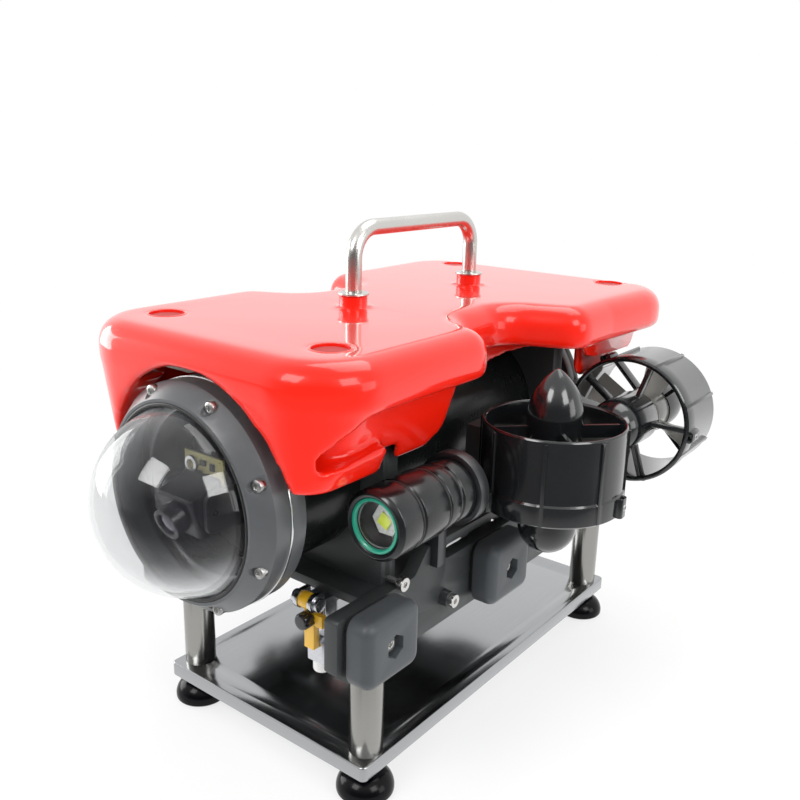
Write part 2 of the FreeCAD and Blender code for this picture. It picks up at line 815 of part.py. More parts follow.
def make_bulkheads():
    bulkheads = []
    crown = hull_axis + hull_radius + bulkhead_crown
    for y in bulkhead_y:
        y0, y1 = y - bulkhead_thickness / 2, y + bulkhead_thickness / 2
        block = box(-frame_inner, frame_inner, y0, y1, tray_top, rail_bottom)
        block = block.cut(box(-hull_radius, hull_radius, y0, y1, crown, rail_bottom))
        block = block.cut(rod_y(hull_radius, 0, y0, y1, hull_axis))
        for side in (-1, 1):
            start = V(side * frame_inner, y, bulkhead_screw_z())
            block = block.cut(Part.makeCylinder(bar_screw_radius + slip_gap, bar_screw_depth, start,
                                                V(-side, 0, 0)))
        bulkheads.append(block)
    return bulkheads


# ---------------------------------------------------------------------------
# Electronics inside the hull and the tilting camera.
# ---------------------------------------------------------------------------
def chassis_top():
    return hull_axis - chassis_drop


def make_chassis():
    half = chassis_width / 2
    top = chassis_top()
    shelf = box(-half, half, chassis_front, chassis_rear, top - chassis_thickness, top)
    discs = []
    for y0 in (chassis_front, chassis_rear - chassis_disc_thickness):
        disc = rod_y(hull_inner - slip_gap, 0, y0, y0 + chassis_disc_thickness, hull_axis)
        window = rod_y(hull_inner * 0.3, 0, y0, y0 + chassis_disc_thickness, hull_axis + hull_inner * 0.45)
        discs.append(disc.cut(window))
    return fused([shelf] + discs)


def make_battery():
    width, length = battery_width, battery_length
    roof = chassis_top() - chassis_thickness
    chord = math.sqrt(hull_inner ** 2 - (width / 2) ** 2)
    height = chord - (hull_axis - roof) - battery_clearance
    middle = (chassis_front + chassis_rear) / 2 + battery_offset
    pack = box(-width / 2, width / 2, middle - length / 2, middle + length / 2, roof - height, roof)
    return pack.makeFillet(5.0, [e for e in pack.Edges if abs(e.tangentAt(e.FirstParameter).y) > 0.9
                                 and e.BoundBox.ZMax < roof - 1])


def make_control_board():
    width, length, thickness = board_size
    floor = chassis_top()
    y0 = chassis_front + board_inset
    z0 = floor + board_standoff
    board = box(-width / 2, width / 2, y0, y0 + length, z0, z0 + thickness)
    legs = [rod_z(2.5, sx * (width / 2 - 5), y0 + 5 + (length - 10) * k, floor, z0)
            for sx in (-1, 1) for k in (0, 1)]
    chips = [box(-12, 12, y0 + 20, y0 + 44, z0 + thickness, z0 + thickness + 3),
             box(-20, 20, y0 + 56, y0 + 66, z0 + thickness, z0 + thickness + 7)]
    return fused([board] + legs + chips)


def camera_pivot():
    return V(0, camera_pivot_y, hull_axis - camera_pivot_drop)


def make_camera_bracket():
    pivot = camera_pivot()
    half = camera_arm_spacing / 2
    z0, z1 = pivot.z - camera_arm_height / 2, pivot.z + camera_arm_height / 2
    back_y = chassis_front - camera_arm_thickness
    back = box(-half, half, back_y, chassis_front, z0, z1)
    arms = []
    for side in (-1, 1):
        inner, outer = half - camera_arm_thickness, half
        arm = box(inner, outer, pivot.y - 7, back_y, z0, z1)
        nose = [e for e in arm.Edges if abs(e.tangentAt(e.FirstParameter).x) > 0.9
                and e.BoundBox.YMax < pivot.y - 6.9]
        arm = arm.makeFillet(6.9, nose)
        arm = arm.cut(rod_x(camera_pin_radius + running_gap, inner, outer, pivot.y, pivot.z))
        arms.append(arm if side == 1 else mirrored(arm))
    return fused([back] + arms)


def make_tilt_servo():
    width, length, height = servo_size
    half = camera_arm_spacing / 2
    pivot = camera_pivot()
    y0 = pivot.y - 4
    servo = box(-half - width, -half, y0, y0 + length, pivot.z - height / 2, pivot.z + height / 2)
    servo = servo.makeChamfer(1.0, servo.Edges)
    hollow = rod_x(camera_pin_radius + running_gap, -half - width * 0.4, -half, pivot.y, pivot.z)
    return servo.cut(hollow)


def make_camera():
    pivot = camera_pivot()
    width, depth, height = camera_body_size
    front = pivot.y - camera_reach
    body = box(-width / 2, width / 2, front, front + depth, pivot.z - height / 2, pivot.z + height / 2)
    body = body.makeFillet(2.5, body.Edges)
    half = camera_arm_spacing / 2
    pin_reach = half - camera_arm_thickness
    pins = [rod_x(camera_pin_radius, width / 2 - 1, half, pivot.y, pivot.z),
            rod_x(camera_pin_radius, -half - servo_size[0] * 0.3, 1 - width / 2, pivot.y, pivot.z)]
    hubs = [rod_x(camera_pin_radius * 2, width / 2 - 1, pin_reach - seat_gap, pivot.y, pivot.z),
            rod_x(camera_pin_radius * 2, seat_gap - pin_reach, 1 - width / 2, pivot.y, pivot.z)]
    barrel_front = front - camera_barrel_length
    barrel = rod_y(camera_barrel_radius, 0, barrel_front, front + 1, pivot.z)
    camera = fused([body, barrel] + pins + hubs)
    camera = camera.cut(rod_y(camera_lens_radius, 0, barrel_front, barrel_front + 3, pivot.z))
    lens = revolve_y([(0, barrel_front + 0.6), (camera_lens_radius * 0.55, barrel_front + 0.9),
                      (camera_lens_radius - slip_gap, barrel_front + 2),
                      (camera_lens_radius - slip_gap, barrel_front + 3), (0, barrel_front + 3)],
                     0, pivot.z)
    for shape in (camera, lens):
        shape.rotate(pivot, X_AXIS, camera_rest_tilt)
    return camera, lens


def make_sensor_board():
    thickness, length, height = sensor_board_size
    y1 = chassis_front
    y0 = y1 - length
    z0 = hull_axis + 2
    board = box(sensor_board_x, sensor_board_x + thickness, y0, y1, z0, z0 + height)
    socket = box(sensor_board_x - 6, sensor_board_x, y0 + 3, y0 + 15, z0 + 12, z0 + 26)
    block = box(sensor_board_x - 4, sensor_board_x, y0 + 4, y0 + 16, z0 + 2, z0 + 8)
    foot = box(sensor_board_x - 6, sensor_board_x + thickness, y1 - 3, y1, z0 + 4, z0 + height - 8)
    return fused([board, socket, block, foot])


# ---------------------------------------------------------------------------
# Moulded shell, foam, shell screws and pillars.
# ---------------------------------------------------------------------------
def shell_corners(inset, end_inset=None, nose_radius=None):
    """Corners of the deck outline, pulled in by inset, with their radii."""
    ends = inset if end_inset is None else end_inset
    corner = max(shell_corner_radius - inset, nose_wall / 8) if nose_radius is None else nose_radius
    shoulder = max(shell_shoulder_radius - inset, nose_wall / 8)
    hollow = min(shell_waist_radius + inset, shell_waist_limit)
    shift = inset * waist_inset_share
    half = [(shell_front_half - inset, shell_front + ends, corner),
            (shell_front_half - inset, shell_taper_start - shift, shoulder),
            (shell_waist_half - inset, shell_waist_front - shift, hollow),
            (shell_waist_half - inset, shell_waist_rear + shift, hollow),
            (shell_rear_half - inset, shell_flare_end + shift, shoulder),
            (shell_rear_half - inset, shell_rear - inset, max(shell_rear_radius - inset, nose_wall / 8))]
    other = [(-x, y, radius) for x, y, radius in reversed(half)]
    return half + other


def shell_slab(inset, z0, z1):
    return Part.Face(rounded_outline(shell_corners(inset), z0)).extrude(V(0, 0, z1 - z0))


def level_edges(shape, z):
    return [e for e in shape.Edges if e.BoundBox.ZMin > z - 0.01 and e.BoundBox.ZMax < z + 0.01]


def shell_band(inset, top, bottom, top_round, bottom_round):
    band = shell_slab(inset, bottom, top)
    band = band.makeFillet(top_round, level_edges(band, top))
    return band.makeFillet(bottom_round, level_edges(band, bottom))


def tapered(top_corners, bottom_corners, top, bottom):
    return Part.makeLoft([rounded_outline(top_corners, top), rounded_outline(bottom_corners, bottom)],
                         True, True)


def skirt_side_tool(bottom):
    """Everything below the skirt's lower edge, as one prism across the shell."""
    low = deck_top - skirt_drop
    high = deck_top - skirt_waist_drop
    reach = shell_rear_half + 20
    corners = [(shell_front - 20, bottom, 0), (shell_rear + 20, bottom, 0),
               (shell_rear + 20, band_bottom + 1, 0), (shell_flare_end + 6, band_bottom + 1, 5),
               (shell_waist_rear, high, 6), (skirt_end + 14, high, skirt_end_radius * 0.5),
               (skirt_end - 22, low, skirt_end_radius),
               (skirt_notch_rear, low, 0), (skirt_notch_rear, low + skirt_notch_height, 1.5),
               (skirt_notch_front, low + skirt_notch_height, 1.5), (skirt_notch_front, low, 0),
               (shell_front - 20, low, 0)]
    return rounded_plate_x(corners, -reach, reach)


def scoop_tool():
    """Side view of the scoops between the band and the skirt's lip."""
    lip = deck_top - skirt_drop + scoop_lip_height
    reach = shell_rear_half + 20
    corners = [(scoop_front, lip, 5), (skirt_notch_front, lip + scoop_lip_rise, 3),
               (skirt_notch_front + 6, lip - 2 * scoop_lip_height, 3),
               (shell_rear + 10, lip - 2 * scoop_lip_height, 0), (shell_rear + 10, band_bottom, 0),
               (scoop_front + 2 * scoop_lip_height, band_bottom, 1.6 * scoop_lip_height),
               (scoop_front, lip + scoop_lip_height, 0.6 * scoop_lip_height)]
    return rounded_plate_x(corners, -reach, reach)


def handle_points():
    return [handle_front, handle_rear]


def make_shell():
    low = deck_top - skirt_drop
    deep = low - 12
    high = band_bottom + band_round + 1
    band = shell_band(0, deck_top, band_bottom, deck_round, band_round)
    skirt = tapered(shell_corners(skirt_inset_top, 0, shell_corner_radius),
                    shell_corners(skirt_inset_bottom, skirt_front_inset, nose_corner_radius), high, deep)
    core = tapered(shell_corners(scoop_inset_top, nose_wall), shell_corners(scoop_inset_bottom, nose_wall),
                   high, deep)
    skirt = skirt.cut(scoop_tool().cut(core)).cut(skirt_side_tool(low - 60))
    outer = fused([band, skirt])
    hollow = shell_slab(shell_wall + 1, band_bottom - 1, deck_under)
    hollow = hollow.makeFillet(deck_round - shell_wall, level_edges(hollow, deck_under))
    wall_top, wall_bottom = scoop_inset_top + shell_wall, scoop_inset_bottom + shell_wall
    well = tapered(shell_corners(wall_top, nose_wall), shell_corners(wall_bottom, nose_wall),
                   high - 1, deep - 1)
    shell = outer.cut(hollow).cut(well)
    reach = flange_radius + arch_gap
    arch_end = shell_front + nose_wall + 5
    arch = rod_y(reach, 0, shell_front - 5, arch_end, hull_axis)
    below = box(-reach, reach, shell_front - 5, arch_end, low - 40, hull_axis)
    shell = shell.cut(arch).cut(below)
    webs = []
    for side in (-1, 1):
        x0, x1 = sorted((side * rear_skirt_x, side * (rear_skirt_x - shell_wall)))
        wall = box(x0, x1, rear_skirt_y[0], rear_skirt_y[1], deck_top - rear_skirt_drop, deck_under + 1)
        lower = [e for e in wall.Edges if abs(e.tangentAt(e.FirstParameter).x) > 0.9
                 and e.BoundBox.ZMax < deck_top - rear_skirt_drop + 0.1]
        webs.append(wall.makeFillet(12.0, lower))
    bosses = [rod_z(boss_radius, 0, y, deck_under, deck_top + boss_height) for y in handle_points()]
    cups = [rod_z(recess_radius + shell_wall * 0.5, x, y, rail_top, deck_top - 2)
            for x, y in shell_screw_points()]
    shell = fused([shell] + webs + bosses + cups)
    for x, y in shell_screw_points():
        shell = shell.cut(rod_z(recess_radius, x, y, deck_top - recess_depth, deck_top + 1))
        shell = shell.cut(rod_z(shell_screw_radius + bolt_gap, x, y, rail_top, deck_top))
    for y in handle_points():
        shell = shell.cut(rod_z(handle_tube_radius + slip_gap, 0, y, deck_under, deck_top + boss_height))
    return shell


def shell_screw_points():
    points = []
    for x, y in (shell_screw_front, shell_screw_rear):
        points += [(x, y), (-x, y)]
    return points


def make_shell_screws():
    seat = deck_top - recess_depth
    return [socket_screw(shell_screw_radius, shell_wall + 12, V(x, y, seat), -Z_AXIS)
            for x, y in shell_screw_points()]


def rail_ends():
    """(x, y0, y1) of each rail, from its shell screw to its bulkhead."""
    half = rail_width / 2
    front, rear = bulkhead_y[0] + bulkhead_thickness / 2, bulkhead_y[1] - bulkhead_thickness / 2
    spans = []
    for x, y in shell_screw_points():
        y0, y1 = (y - half, front) if y < 0 else (rear, y + half)
        spans.append((x, y, y0, y1))
    return spans


def make_rails():
    rails = []
    half = rail_width / 2
    for x, y, y0, y1 in rail_ends():
        rail = box(x - half, x + half, y0, y1, rail_bottom, rail_top)
        rail = rail.makeFillet(half * 0.9, [e for e in rail.Edges if abs(e.tangentAt(e.FirstParameter).z) > 0.9
                                            and abs(e.BoundBox.YMin - y) < half + 0.1])
        rails.append(rail.cut(rod_z(shell_screw_radius + slip_gap, x, y, rail_bottom, rail_top)))
    return rails


def make_foam():
    floor = deck_under - foam_drop
    slab = shell_slab(foam_inset, floor, deck_under)
    nut_pocket = handle_nut_flats / math.sqrt(3) + 1
    for y in handle_points():
        slab = slab.cut(rod_z(nut_pocket, 0, y, floor, deck_under))
    half = rail_width / 2 + 1
    for x, y, y0, y1 in rail_ends():
        slab = slab.cut(rod_z(recess_radius + shell_wall, x, y, floor, deck_under))
        slab = slab.cut(box(x - half, x + half, y0 - 1, y1 + 1, floor, rail_top + 1))
    slab = slab.cut(rod_y(flange_radius + 1, 0, shell_front, hull_front + flange_front_thickness + 1, hull_axis))
    for y in bulkhead_y:
        reach = bulkhead_thickness / 2 + 1
        slab = slab.cut(box(-shell_rear_half, shell_rear_half, y - reach, y + reach, floor, rail_bottom + 1))
    for side in (-1, 1):
        x0, x1 = sorted((side * (rear_skirt_x + 1), side * (rear_skirt_x - shell_wall - 1)))
        slab = slab.cut(box(x0, x1, rear_skirt_y[0] - 1, rear_skirt_y[1] + 1, floor, deck_under))
    return slab.Solids


# ---------------------------------------------------------------------------
# Handle.
# ---------------------------------------------------------------------------
def make_handle():
    bar_z = deck_top + handle_rise
    foot_z = deck_under - handle_nut_height - 3
    bend = handle_bend
    slant = bend * (1 - math.sqrt(0.5))
    path = Part.Wire([
        Part.LineSegment(V(0, handle_front, foot_z), V(0, handle_front, bar_z - bend)).toShape(),
        Part.Arc(V(0, handle_front, bar_z - bend), V(0, handle_front + slant, bar_z - slant),
                 V(0, handle_front + bend, bar_z)).toShape(),
        Part.LineSegment(V(0, handle_front + bend, bar_z), V(0, handle_rear - bend, bar_z)).toShape(),
        Part.Arc(V(0, handle_rear - bend, bar_z), V(0, handle_rear - slant, bar_z - slant),
                 V(0, handle_rear, bar_z - bend)).toShape(),
        Part.LineSegment(V(0, handle_rear, bar_z - bend), V(0, handle_rear, foot_z)).toShape()])
    circle = Part.Wire([Part.Circle(V(0, handle_front, foot_z), Z_AXIS, handle_tube_radius).toShape()])
    return path.makePipeShell([circle], True, False)


def make_handle_hardware():
    pieces = []
    boss_top = deck_top + boss_height
    for y in handle_points():
        washer = rod_z(washer_radius, 0, y, boss_top, boss_top + washer_thickness)
        nut = hex_prism(handle_nut_flats, handle_nut_height, V(0, y, deck_under - handle_nut_height), Z_AXIS)
        for piece in (washer, nut):
            bore = rod_z(handle_tube_radius + slip_gap, 0, y, deck_under - handle_nut_height,
                         boss_top + washer_thickness)
            pieces.append(piece.cut(bore))
    return pieces


# ---------------------------------------------------------------------------
# Thruster unit along +Z with its vane rim at z = 0, then placed.
# ---------------------------------------------------------------------------
def polar_copies(shape, count, start=0.0):
    copies = []
    for i in range(count):
        copy = shape.copy()
        copy.rotate(V(0, 0, 0), Z_AXIS, start + 360.0 / count * i)
        copies.append(copy)
    return copies


def make_nozzle():
    inner = duct_radius - duct_wall
    outer_low = duct_radius + duct_band_step
    band_top = duct_band_height - duct_length
    profile = [(inner + duct_lip, 0), (duct_radius - duct_lip * 0.6, 0), (duct_radius, -duct_lip),
               (duct_radius, band_top), (outer_low, band_top - duct_band_step),
               (outer_low, -duct_length + duct_lip), (outer_low - duct_lip, -duct_length),
               (inner + duct_lip, -duct_length), (inner, -duct_length + duct_lip), (inner, -duct_lip)]
    wall = revolve_z(profile)
    rib = box(duct_radius - 0.5, duct_radius + duct_rib_depth, -duct_rib_width / 2, duct_rib_width / 2,
              -duct_length + 1, -duct_lip - 1)
    ribs = polar_copies(rib, duct_rib_count, 360.0 / duct_rib_count / 2)
    lug_z = -duct_length + 1
    lug = box(duct_radius - 0.8, duct_radius + lug_depth, -lug_width / 2, lug_width / 2, lug_z, lug_z + lug_height)
    lug = lug.makeFillet(2.5, [e for e in lug.Edges if abs(e.tangentAt(e.FirstParameter).z) > 0.9
                               and e.BoundBox.XMin > duct_radius + 1])
    lug = lug.cut(rod_z(lug_screw_radius, duct_radius + lug_depth / 2, 0, lug_z, lug_z + lug_height))
    lugs = polar_copies(lug, lug_count, lug_angle)
    vane = box(cone_radius - 2, inner + 0.5, -vane_thickness / 2, vane_thickness / 2,
               -vane_top - vane_height, -vane_top)
    vanes = polar_copies(vane, vane_count, 45)
    ogive = Part.Arc(V(cone_radius, 0, 0), V(cone_radius * 0.73, 0, cone_height * 0.6),
                     V(cone_tip_radius, 0, cone_height)).toShape()
    rest = Part.makePolygon([V(cone_tip_radius, 0, cone_height), V(0, 0, cone_height), V(0, 0, -cone_skirt),
                             V(cone_radius, 0, -cone_skirt), V(cone_radius, 0, 0)])
    cone = Part.Face(Part.Wire([ogive] + rest.Edges)).revolve(V(0, 0, 0), Z_AXIS, 360)
    bearing = rod_z(shaft_radius + running_gap, 0, 0, -cone_skirt, -cone_skirt + shaft_grip + seat_gap)
    return fused([wall, cone.cut(bearing)] + ribs + lugs + vanes)


def pod_roof():
    return -duct_length + pod_top


def make_motor_pod():
    inner = duct_radius - duct_wall
    top = pod_roof()
    ball = -duct_length - pod_reach + pod_radius
    dome = Part.makeSphere(pod_radius, V(0, 0, ball)).common(
        box(-pod_radius, pod_radius, -pod_radius, pod_radius, ball - pod_radius, ball))
    barrel = rod_z(pod_radius, 0, 0, ball, top)
    strut = box(pod_radius - 2, inner, -strut_thickness / 2, strut_thickness / 2,
                -duct_length + 1.5, -duct_length + 1.5 + strut_height)
    reach = rod_z(inner, 0, 0, -duct_length, top)
    struts = [part.common(reach) for part in polar_copies(strut, strut_count)]
    pod = fused([dome, barrel] + struts)
    return pod.cut(rod_z(shaft_radius + running_gap, 0, 0, top - shaft_grip - seat_gap, top))


def blade_section(radius, width, pitch, thickness):
    """Lens-shaped section across a blade at one radius, turned to its pitch."""
    half = width / 2
    turn = math.radians(pitch)
    along = V(0, math.cos(turn), math.sin(turn))
    across = V(0, -math.sin(turn), math.cos(turn))
    centre = V(radius, 0, 0)
    first, last = centre - along * half, centre + along * half
    upper = Part.Arc(first, centre + across * (thickness / 2 + width * 0.05), last).toShape()
    lower = Part.Arc(last, centre + across * (width * 0.05 - thickness / 2), first).toShape()
    return Part.Wire([upper, lower])


def make_propeller():
    tip = duct_radius - duct_wall - blade_tip_gap
    hub_top = -cone_skirt - seat_gap
    hub_bottom = pod_roof() + seat_gap
    middle = (hub_top + hub_bottom) / 2
    hub = rod_z(cone_radius - 0.5, 0, 0, hub_bottom, hub_top)
    shaft = rod_z(shaft_radius, 0, 0, hub_bottom - shaft_grip, hub_top + shaft_grip)
    root = cone_radius - 4
    sections = []
    for step in range(3):
        share = step / 2
        sections.append(blade_section(root + (tip + 3 - root) * share,
                                      blade_root_width + (blade_tip_width - blade_root_width) * share,
                                      blade_pitch_root + (blade_pitch_tip - blade_pitch_root) * share,
                                      blade_thickness * (1.5 - share * 0.7)))
    blade = Part.makeLoft(sections, True, False)
    blade.translate(V(0, 0, middle))
    swept = rod_z(tip, 0, 0, hub_bottom + 0.5, hub_top - 0.5)
    blades = [part.common(swept) for part in polar_copies(blade, blade_count, 20)]
    return fused([hub, shaft] + blades)


def place_unit(shape, where):
    """Put a unit shape at one of the four thruster stations."""
    copy = shape.copy()
    side = 1 if "port" in where else -1
    if "vertical" in where:
        copy.translate(V(thruster_x, vertical_y, vertical_rim))
    else:
        copy.rotate(V(0, 0, 0), X_AXIS, -90)
        copy.translate(V(thruster_x, rear_lip_y + duct_length, rear_axis))
    return copy if side == 1 else mirrored(copy)


def arm_stations():
    """(y of the arm's middle, duct cutter) for the vertical and the rear duct."""
    clear = duct_radius + max(duct_rib_depth, duct_band_step) + seat_gap
    rear_y = rear_lip_y + duct_length * 0.55
    return [(vertical_y, rod_z(clear, thruster_x, vertical_y, frame_bottom, deck_top)),
            (rear_y, rod_y(clear, thruster_x, rear_y - arm_width, rear_y + arm_width, rear_axis))]


def make_arms():
    """Upright brackets inside the side plates, each with a saddle for its duct."""
    inner = frame_inner - arm_thickness
    roof = hull_axis + arm_saddle_height / 2
    arms = []
    for mid_y, duct in arm_stations():
        y0, y1 = mid_y - arm_width / 2, mid_y + arm_width / 2
        web = box(inner, frame_inner, y0, y1, frame_top - arm_overlap, roof)
        block = box(frame_inner - 1, thruster_x - duct_radius + 5, y0, y1, roof - arm_saddle_height, roof)
        arm = fused([web, block.cut(duct)])
        for side in (-1, 1):
            arm = arm.cut(rod_x(arm_screw_radius + bolt_gap, inner, frame_inner,
                                mid_y + side * arm_width / 4, arm_screw_z()))
        arms.append(arm)
    return arms + [mirrored(arm) for arm in arms]


def arm_screw_z():
    return frame_top - arm_overlap + 2.5 * arm_screw_radius


def make_arm_screws():
    screws = []
    for mid_y, _ in arm_stations():
        for side in (-1, 1):
            screws += both_sides(socket_screw(arm_screw_radius, arm_thickness + arm_screw_grip,
                                              V(frame_inner - arm_thickness, mid_y + side * arm_width / 4,
                                                arm_screw_z()), X_AXIS))
    return screws


# ---------------------------------------------------------------------------
# Lamps.
# ---------------------------------------------------------------------------
def make_lamp():
    y0 = lamp_front
    y1 = lamp_front + lamp_length
    r = lamp_radius
    cup = lamp_bezel_inner
    rear = lamp_rear_radius
    profile = [(lamp_bezel_outer + slip_gap, y0 + 1), (r - 2.5, y0), (r, y0 + 2.5), (r, y0 + 19),
               (r - 1.6, y0 + 20), (r - 1.6, y0 + 22), (r, y0 + 23), (r, y0 + 45), (r - 1.6, y0 + 46),
               (r - 1.6, y0 + 48), (r - 0.6, y0 + 49), (r - 0.6, y0 + 58), (r - 2.4, y0 + 59),
               (r - 2.4, y0 + 62), (rear, y0 + 63), (rear, y1 - lamp_tail), (rear - 3, y1), (0, y1),
               (0, y0 + lamp_cup_depth), (cup, y0 + lamp_cup_depth),
               (cup, y0 + lamp_lens_depth + lamp_lens_thickness + 1),
               (cup, y0 + 1 + lamp_bezel_depth), (lamp_bezel_outer + slip_gap, y0 + 1 + lamp_bezel_depth)]
    body = revolve_y(profile, lamp_x, lamp_axis)
    bezel = rod_y(lamp_bezel_outer, lamp_x, y0, y0 + 1 + lamp_bezel_depth, lamp_axis)
    bezel = bezel.cut(rod_y(lamp_bezel_inner, lamp_x, y0, y0 + 1 + lamp_bezel_depth, lamp_axis))
    lens = rod_y(cup - slip_gap, lamp_x, y0 + lamp_lens_depth, y0 + lamp_lens_depth + lamp_lens_thickness,
                 lamp_axis)
    star_back = y0 + lamp_cup_depth
    star = rod_y(led_star_radius, lamp_x, star_back - led_star_thickness, star_back, lamp_axis)
    chip_front = star_back - led_star_thickness - led_chip_height
    chip = rod_y(led_chip_radius, lamp_x, chip_front, star_back - led_star_thickness, lamp_axis)
    edge = [e for e in chip.Edges if e.BoundBox.YMax < chip_front + 0.01]
    chip = chip.makeFillet(led_chip_height * 0.8, edge)
    return body, bezel, lens, star.fuse(chip).removeSplitter()


def make_lamp_clamp():
    y1 = lamp_front + lamp_length - lamp_tail
    y0 = y1 - lamp_clamp_width
    outer = lamp_rear_radius + lamp_clamp_thickness
    ring = rod_y(outer, lamp_x, y0, y1, lamp_axis)
    leg_x1 = frame_outer + 6
    leg = box(frame_outer, leg_x1, y0, y1, frame_top - lamp_leg_drop, lamp_axis)
    shoe = box(frame_inner, leg_x1, y0, y1, frame_top, frame_top + 4)
    clamp = fused([ring, leg, shoe])
    return clamp.cut(rod_y(lamp_rear_radius, lamp_x, y0, y1, lamp_axis))


# ---------------------------------------------------------------------------
# Tool clamp that hangs below the front tray.
# ---------------------------------------------------------------------------
def clamp_levels():
    return tray_bottom, tray_bottom - clamp_length


def make_clamp_body():
    pin_z, floor = clamp_levels()
    half = clamp_width / 2
    y0 = clamp_y
    block = box(clamp_x - half, clamp_x + half, y0, y0 + clamp_depth, floor, tray_bottom)
    block = block.makeFillet(2.0, [e for e in block.Edges if abs(e.tangentAt(e.FirstParameter).z) > 0.9])
    tongue = box(clamp_x - half, clamp_x + half, y0, tray_front_y[0] + 24, tray_bottom - 5, tray_bottom)
    ears = []
    for x0, x1 in ((-half, -jaw_width / 2 - seat_gap), (jaw_width / 2 + seat_gap, half)):
        ear = rod_x(clamp_eye_radius, clamp_x + x0, clamp_x + x1, y0 - clamp_eye_radius, pin_z)
        root = box(clamp_x + x0, clamp_x + x1, y0 - clamp_eye_radius, y0 + 1,
                   pin_z - clamp_eye_radius, pin_z + clamp_eye_radius)
        ears += [ear, root]
    body = fused([block, tongue] + ears)
    body = body.cut(rod_x(clamp_pin_radius + slip_gap, clamp_x - half, clamp_x + half,
                          y0 - clamp_eye_radius, pin_z))
    bite = box(clamp_x - half, clamp_x + half, y0, y0 + clamp_depth * 0.55,
               pin_z - jaw_length + 3, pin_z - jaw_length + 17)
    return body.cut(bite)


def make_clamp_pin():
    pin_z, _ = clamp_levels()
    half = clamp_width / 2
    y = clamp_y - clamp_eye_radius
    shaft = rod_x(clamp_pin_radius, clamp_x - half - 2, clamp_x + half + 2, y, pin_z)
    caps = [rod_x(clamp_pin_radius * 1.8, clamp_x - half - 3.5, clamp_x - half, y, pin_z),
            rod_x(clamp_pin_radius * 1.8, clamp_x + half, clamp_x + half + 3.5, y, pin_z)]
    return fused([shaft] + caps)


def make_jaw():
    pin_z, _ = clamp_levels()
    half = jaw_width / 2
    y = clamp_y - clamp_eye_radius
    eye = rod_x(clamp_eye_radius - 0.6, clamp_x - half, clamp_x + half, y, pin_z)
    back = clamp_y - seat_gap
    bar = box(clamp_x - half, clamp_x + half, back - jaw_thickness, back, pin_z - jaw_length, pin_z)
    bar = bar.cut(box(clamp_x - half, clamp_x + half, back - clamp_eye_radius + 1.5, back,
                      pin_z, pin_z + 10))
    tab = box(clamp_x + half - 1, clamp_x + half + jaw_tab, back - jaw_thickness, back - 1,
              pin_z - knob_drop - 4, pin_z - knob_drop + 4)
    jaw = fused([eye, bar, tab])
    jaw = jaw.cut(rod_x(clamp_pin_radius + running_gap, clamp_x - half, clamp_x + half, y, pin_z))
    return jaw.cut(rod_y(knob_shank_radius + running_gap, clamp_x, back - jaw_thickness, back,
                         pin_z - knob_drop))


def make_knob():
    pin_z, _ = clamp_levels()
    z = pin_z - knob_drop
    face = clamp_y - seat_gap - jaw_thickness - seat_gap
    grip = rod_y(knob_radius, clamp_x, face - knob_length, face, z)
    grip = grip.makeFillet(2.0, [e for e in grip.Edges if e.BoundBox.YMax < face - knob_length + 0.01])
    flutes = []
    for i in range(6):
        a = math.radians(60 * i)
        flutes.append(rod_y(1.6, clamp_x + (knob_radius + 0.6) * math.cos(a), face - knob_length - 1,
                            face + 1, z + (knob_radius + 0.6) * math.sin(a)))
    for flute in flutes:
        grip = grip.cut(flute)
    shank = rod_y(knob_shank_radius, clamp_x, face - 1, clamp_y - seat_gap - 0.2, z)
    return fused([grip, shank])


def make_nylon_pad():
    _, floor = clamp_levels()
    y = clamp_y + clamp_depth / 2
    pad = rod_z(nylon_radius, clamp_x, y, floor - nylon_height, floor)
    return pad.makeFillet(2.0, level_edges(pad, floor - nylon_height))


# ---------------------------------------------------------------------------
# Export.
# ---------------------------------------------------------------------------
STATIONS = ("vertical_port", "vertical_starboard", "rear_port", "rear_starboard")

export("stand_plate", make_stand_plate())
export("stand_posts", *make_posts())
export("foot_studs", *make_foot_studs())
for number, (foot_x, foot_y) in enumerate(corner_points(), 1):
    export("levelling_foot_%d" % number, make_foot(foot_x, foot_y))

side_plate = make_side_plate()
export("side_plate_port", side_plate)
export("side_plate_starboard", mirrored(side_plate))
export("tray_plates", *make_trays())
export("cross_bars", *make_cross_bars())
gaskets, pads, pad_screws = make_pads()
export("pad_gaskets", *gaskets)
export("bumper_pads", *pads)

export("hull_tube", make_hull_tube())
export("hull_flanges", *make_flanges())
export("hull_seals", *make_seals())
export("shim_ring", make_shim())
export("dome_ring", make_dome_ring())
export("dome_window", make_dome())
export("rear_cap", make_rear_cap())
export("cable_penetrators", *make_penetrators())
export("tether_gland", make_tether_gland())
export("vent_plug", make_vent_plug())
export("hull_bulkheads", *make_bulkheads())

export("electronics_tray", make_chassis())
export("battery_pack", make_battery())
export("control_board", make_control_board())
export("camera_bracket", make_camera_bracket())
export("tilt_servo", make_tilt_servo())
camera, camera_lens = make_camera()
export("camera_module", camera)
export("camera_lens", camera_lens)
export("sensor_board", make_sensor_board())

export("upper_shell", make_shell())
export("shell_rails", *make_rails())
export("large_screws", *(make_frame_screws() + pad_screws + make_shell_screws()))
export("small_screws", *(make_dome_screws() + make_cap_screws() + make_arm_screws()))
export("buoyancy_foam", *make_foam())
export("handle", make_handle())
export("handle_hardware", *make_handle_hardware())

nozzle, pod, propeller = make_nozzle(), make_motor_pod(), make_propeller()
for station in STATIONS:
    export("nozzle_" + station, place_unit(nozzle, station))
    export("propeller_" + station, place_unit(propeller, station))
export("motor_pods", *[place_unit(pod, station) for station in STATIONS])
export("thruster_arms", *make_arms())

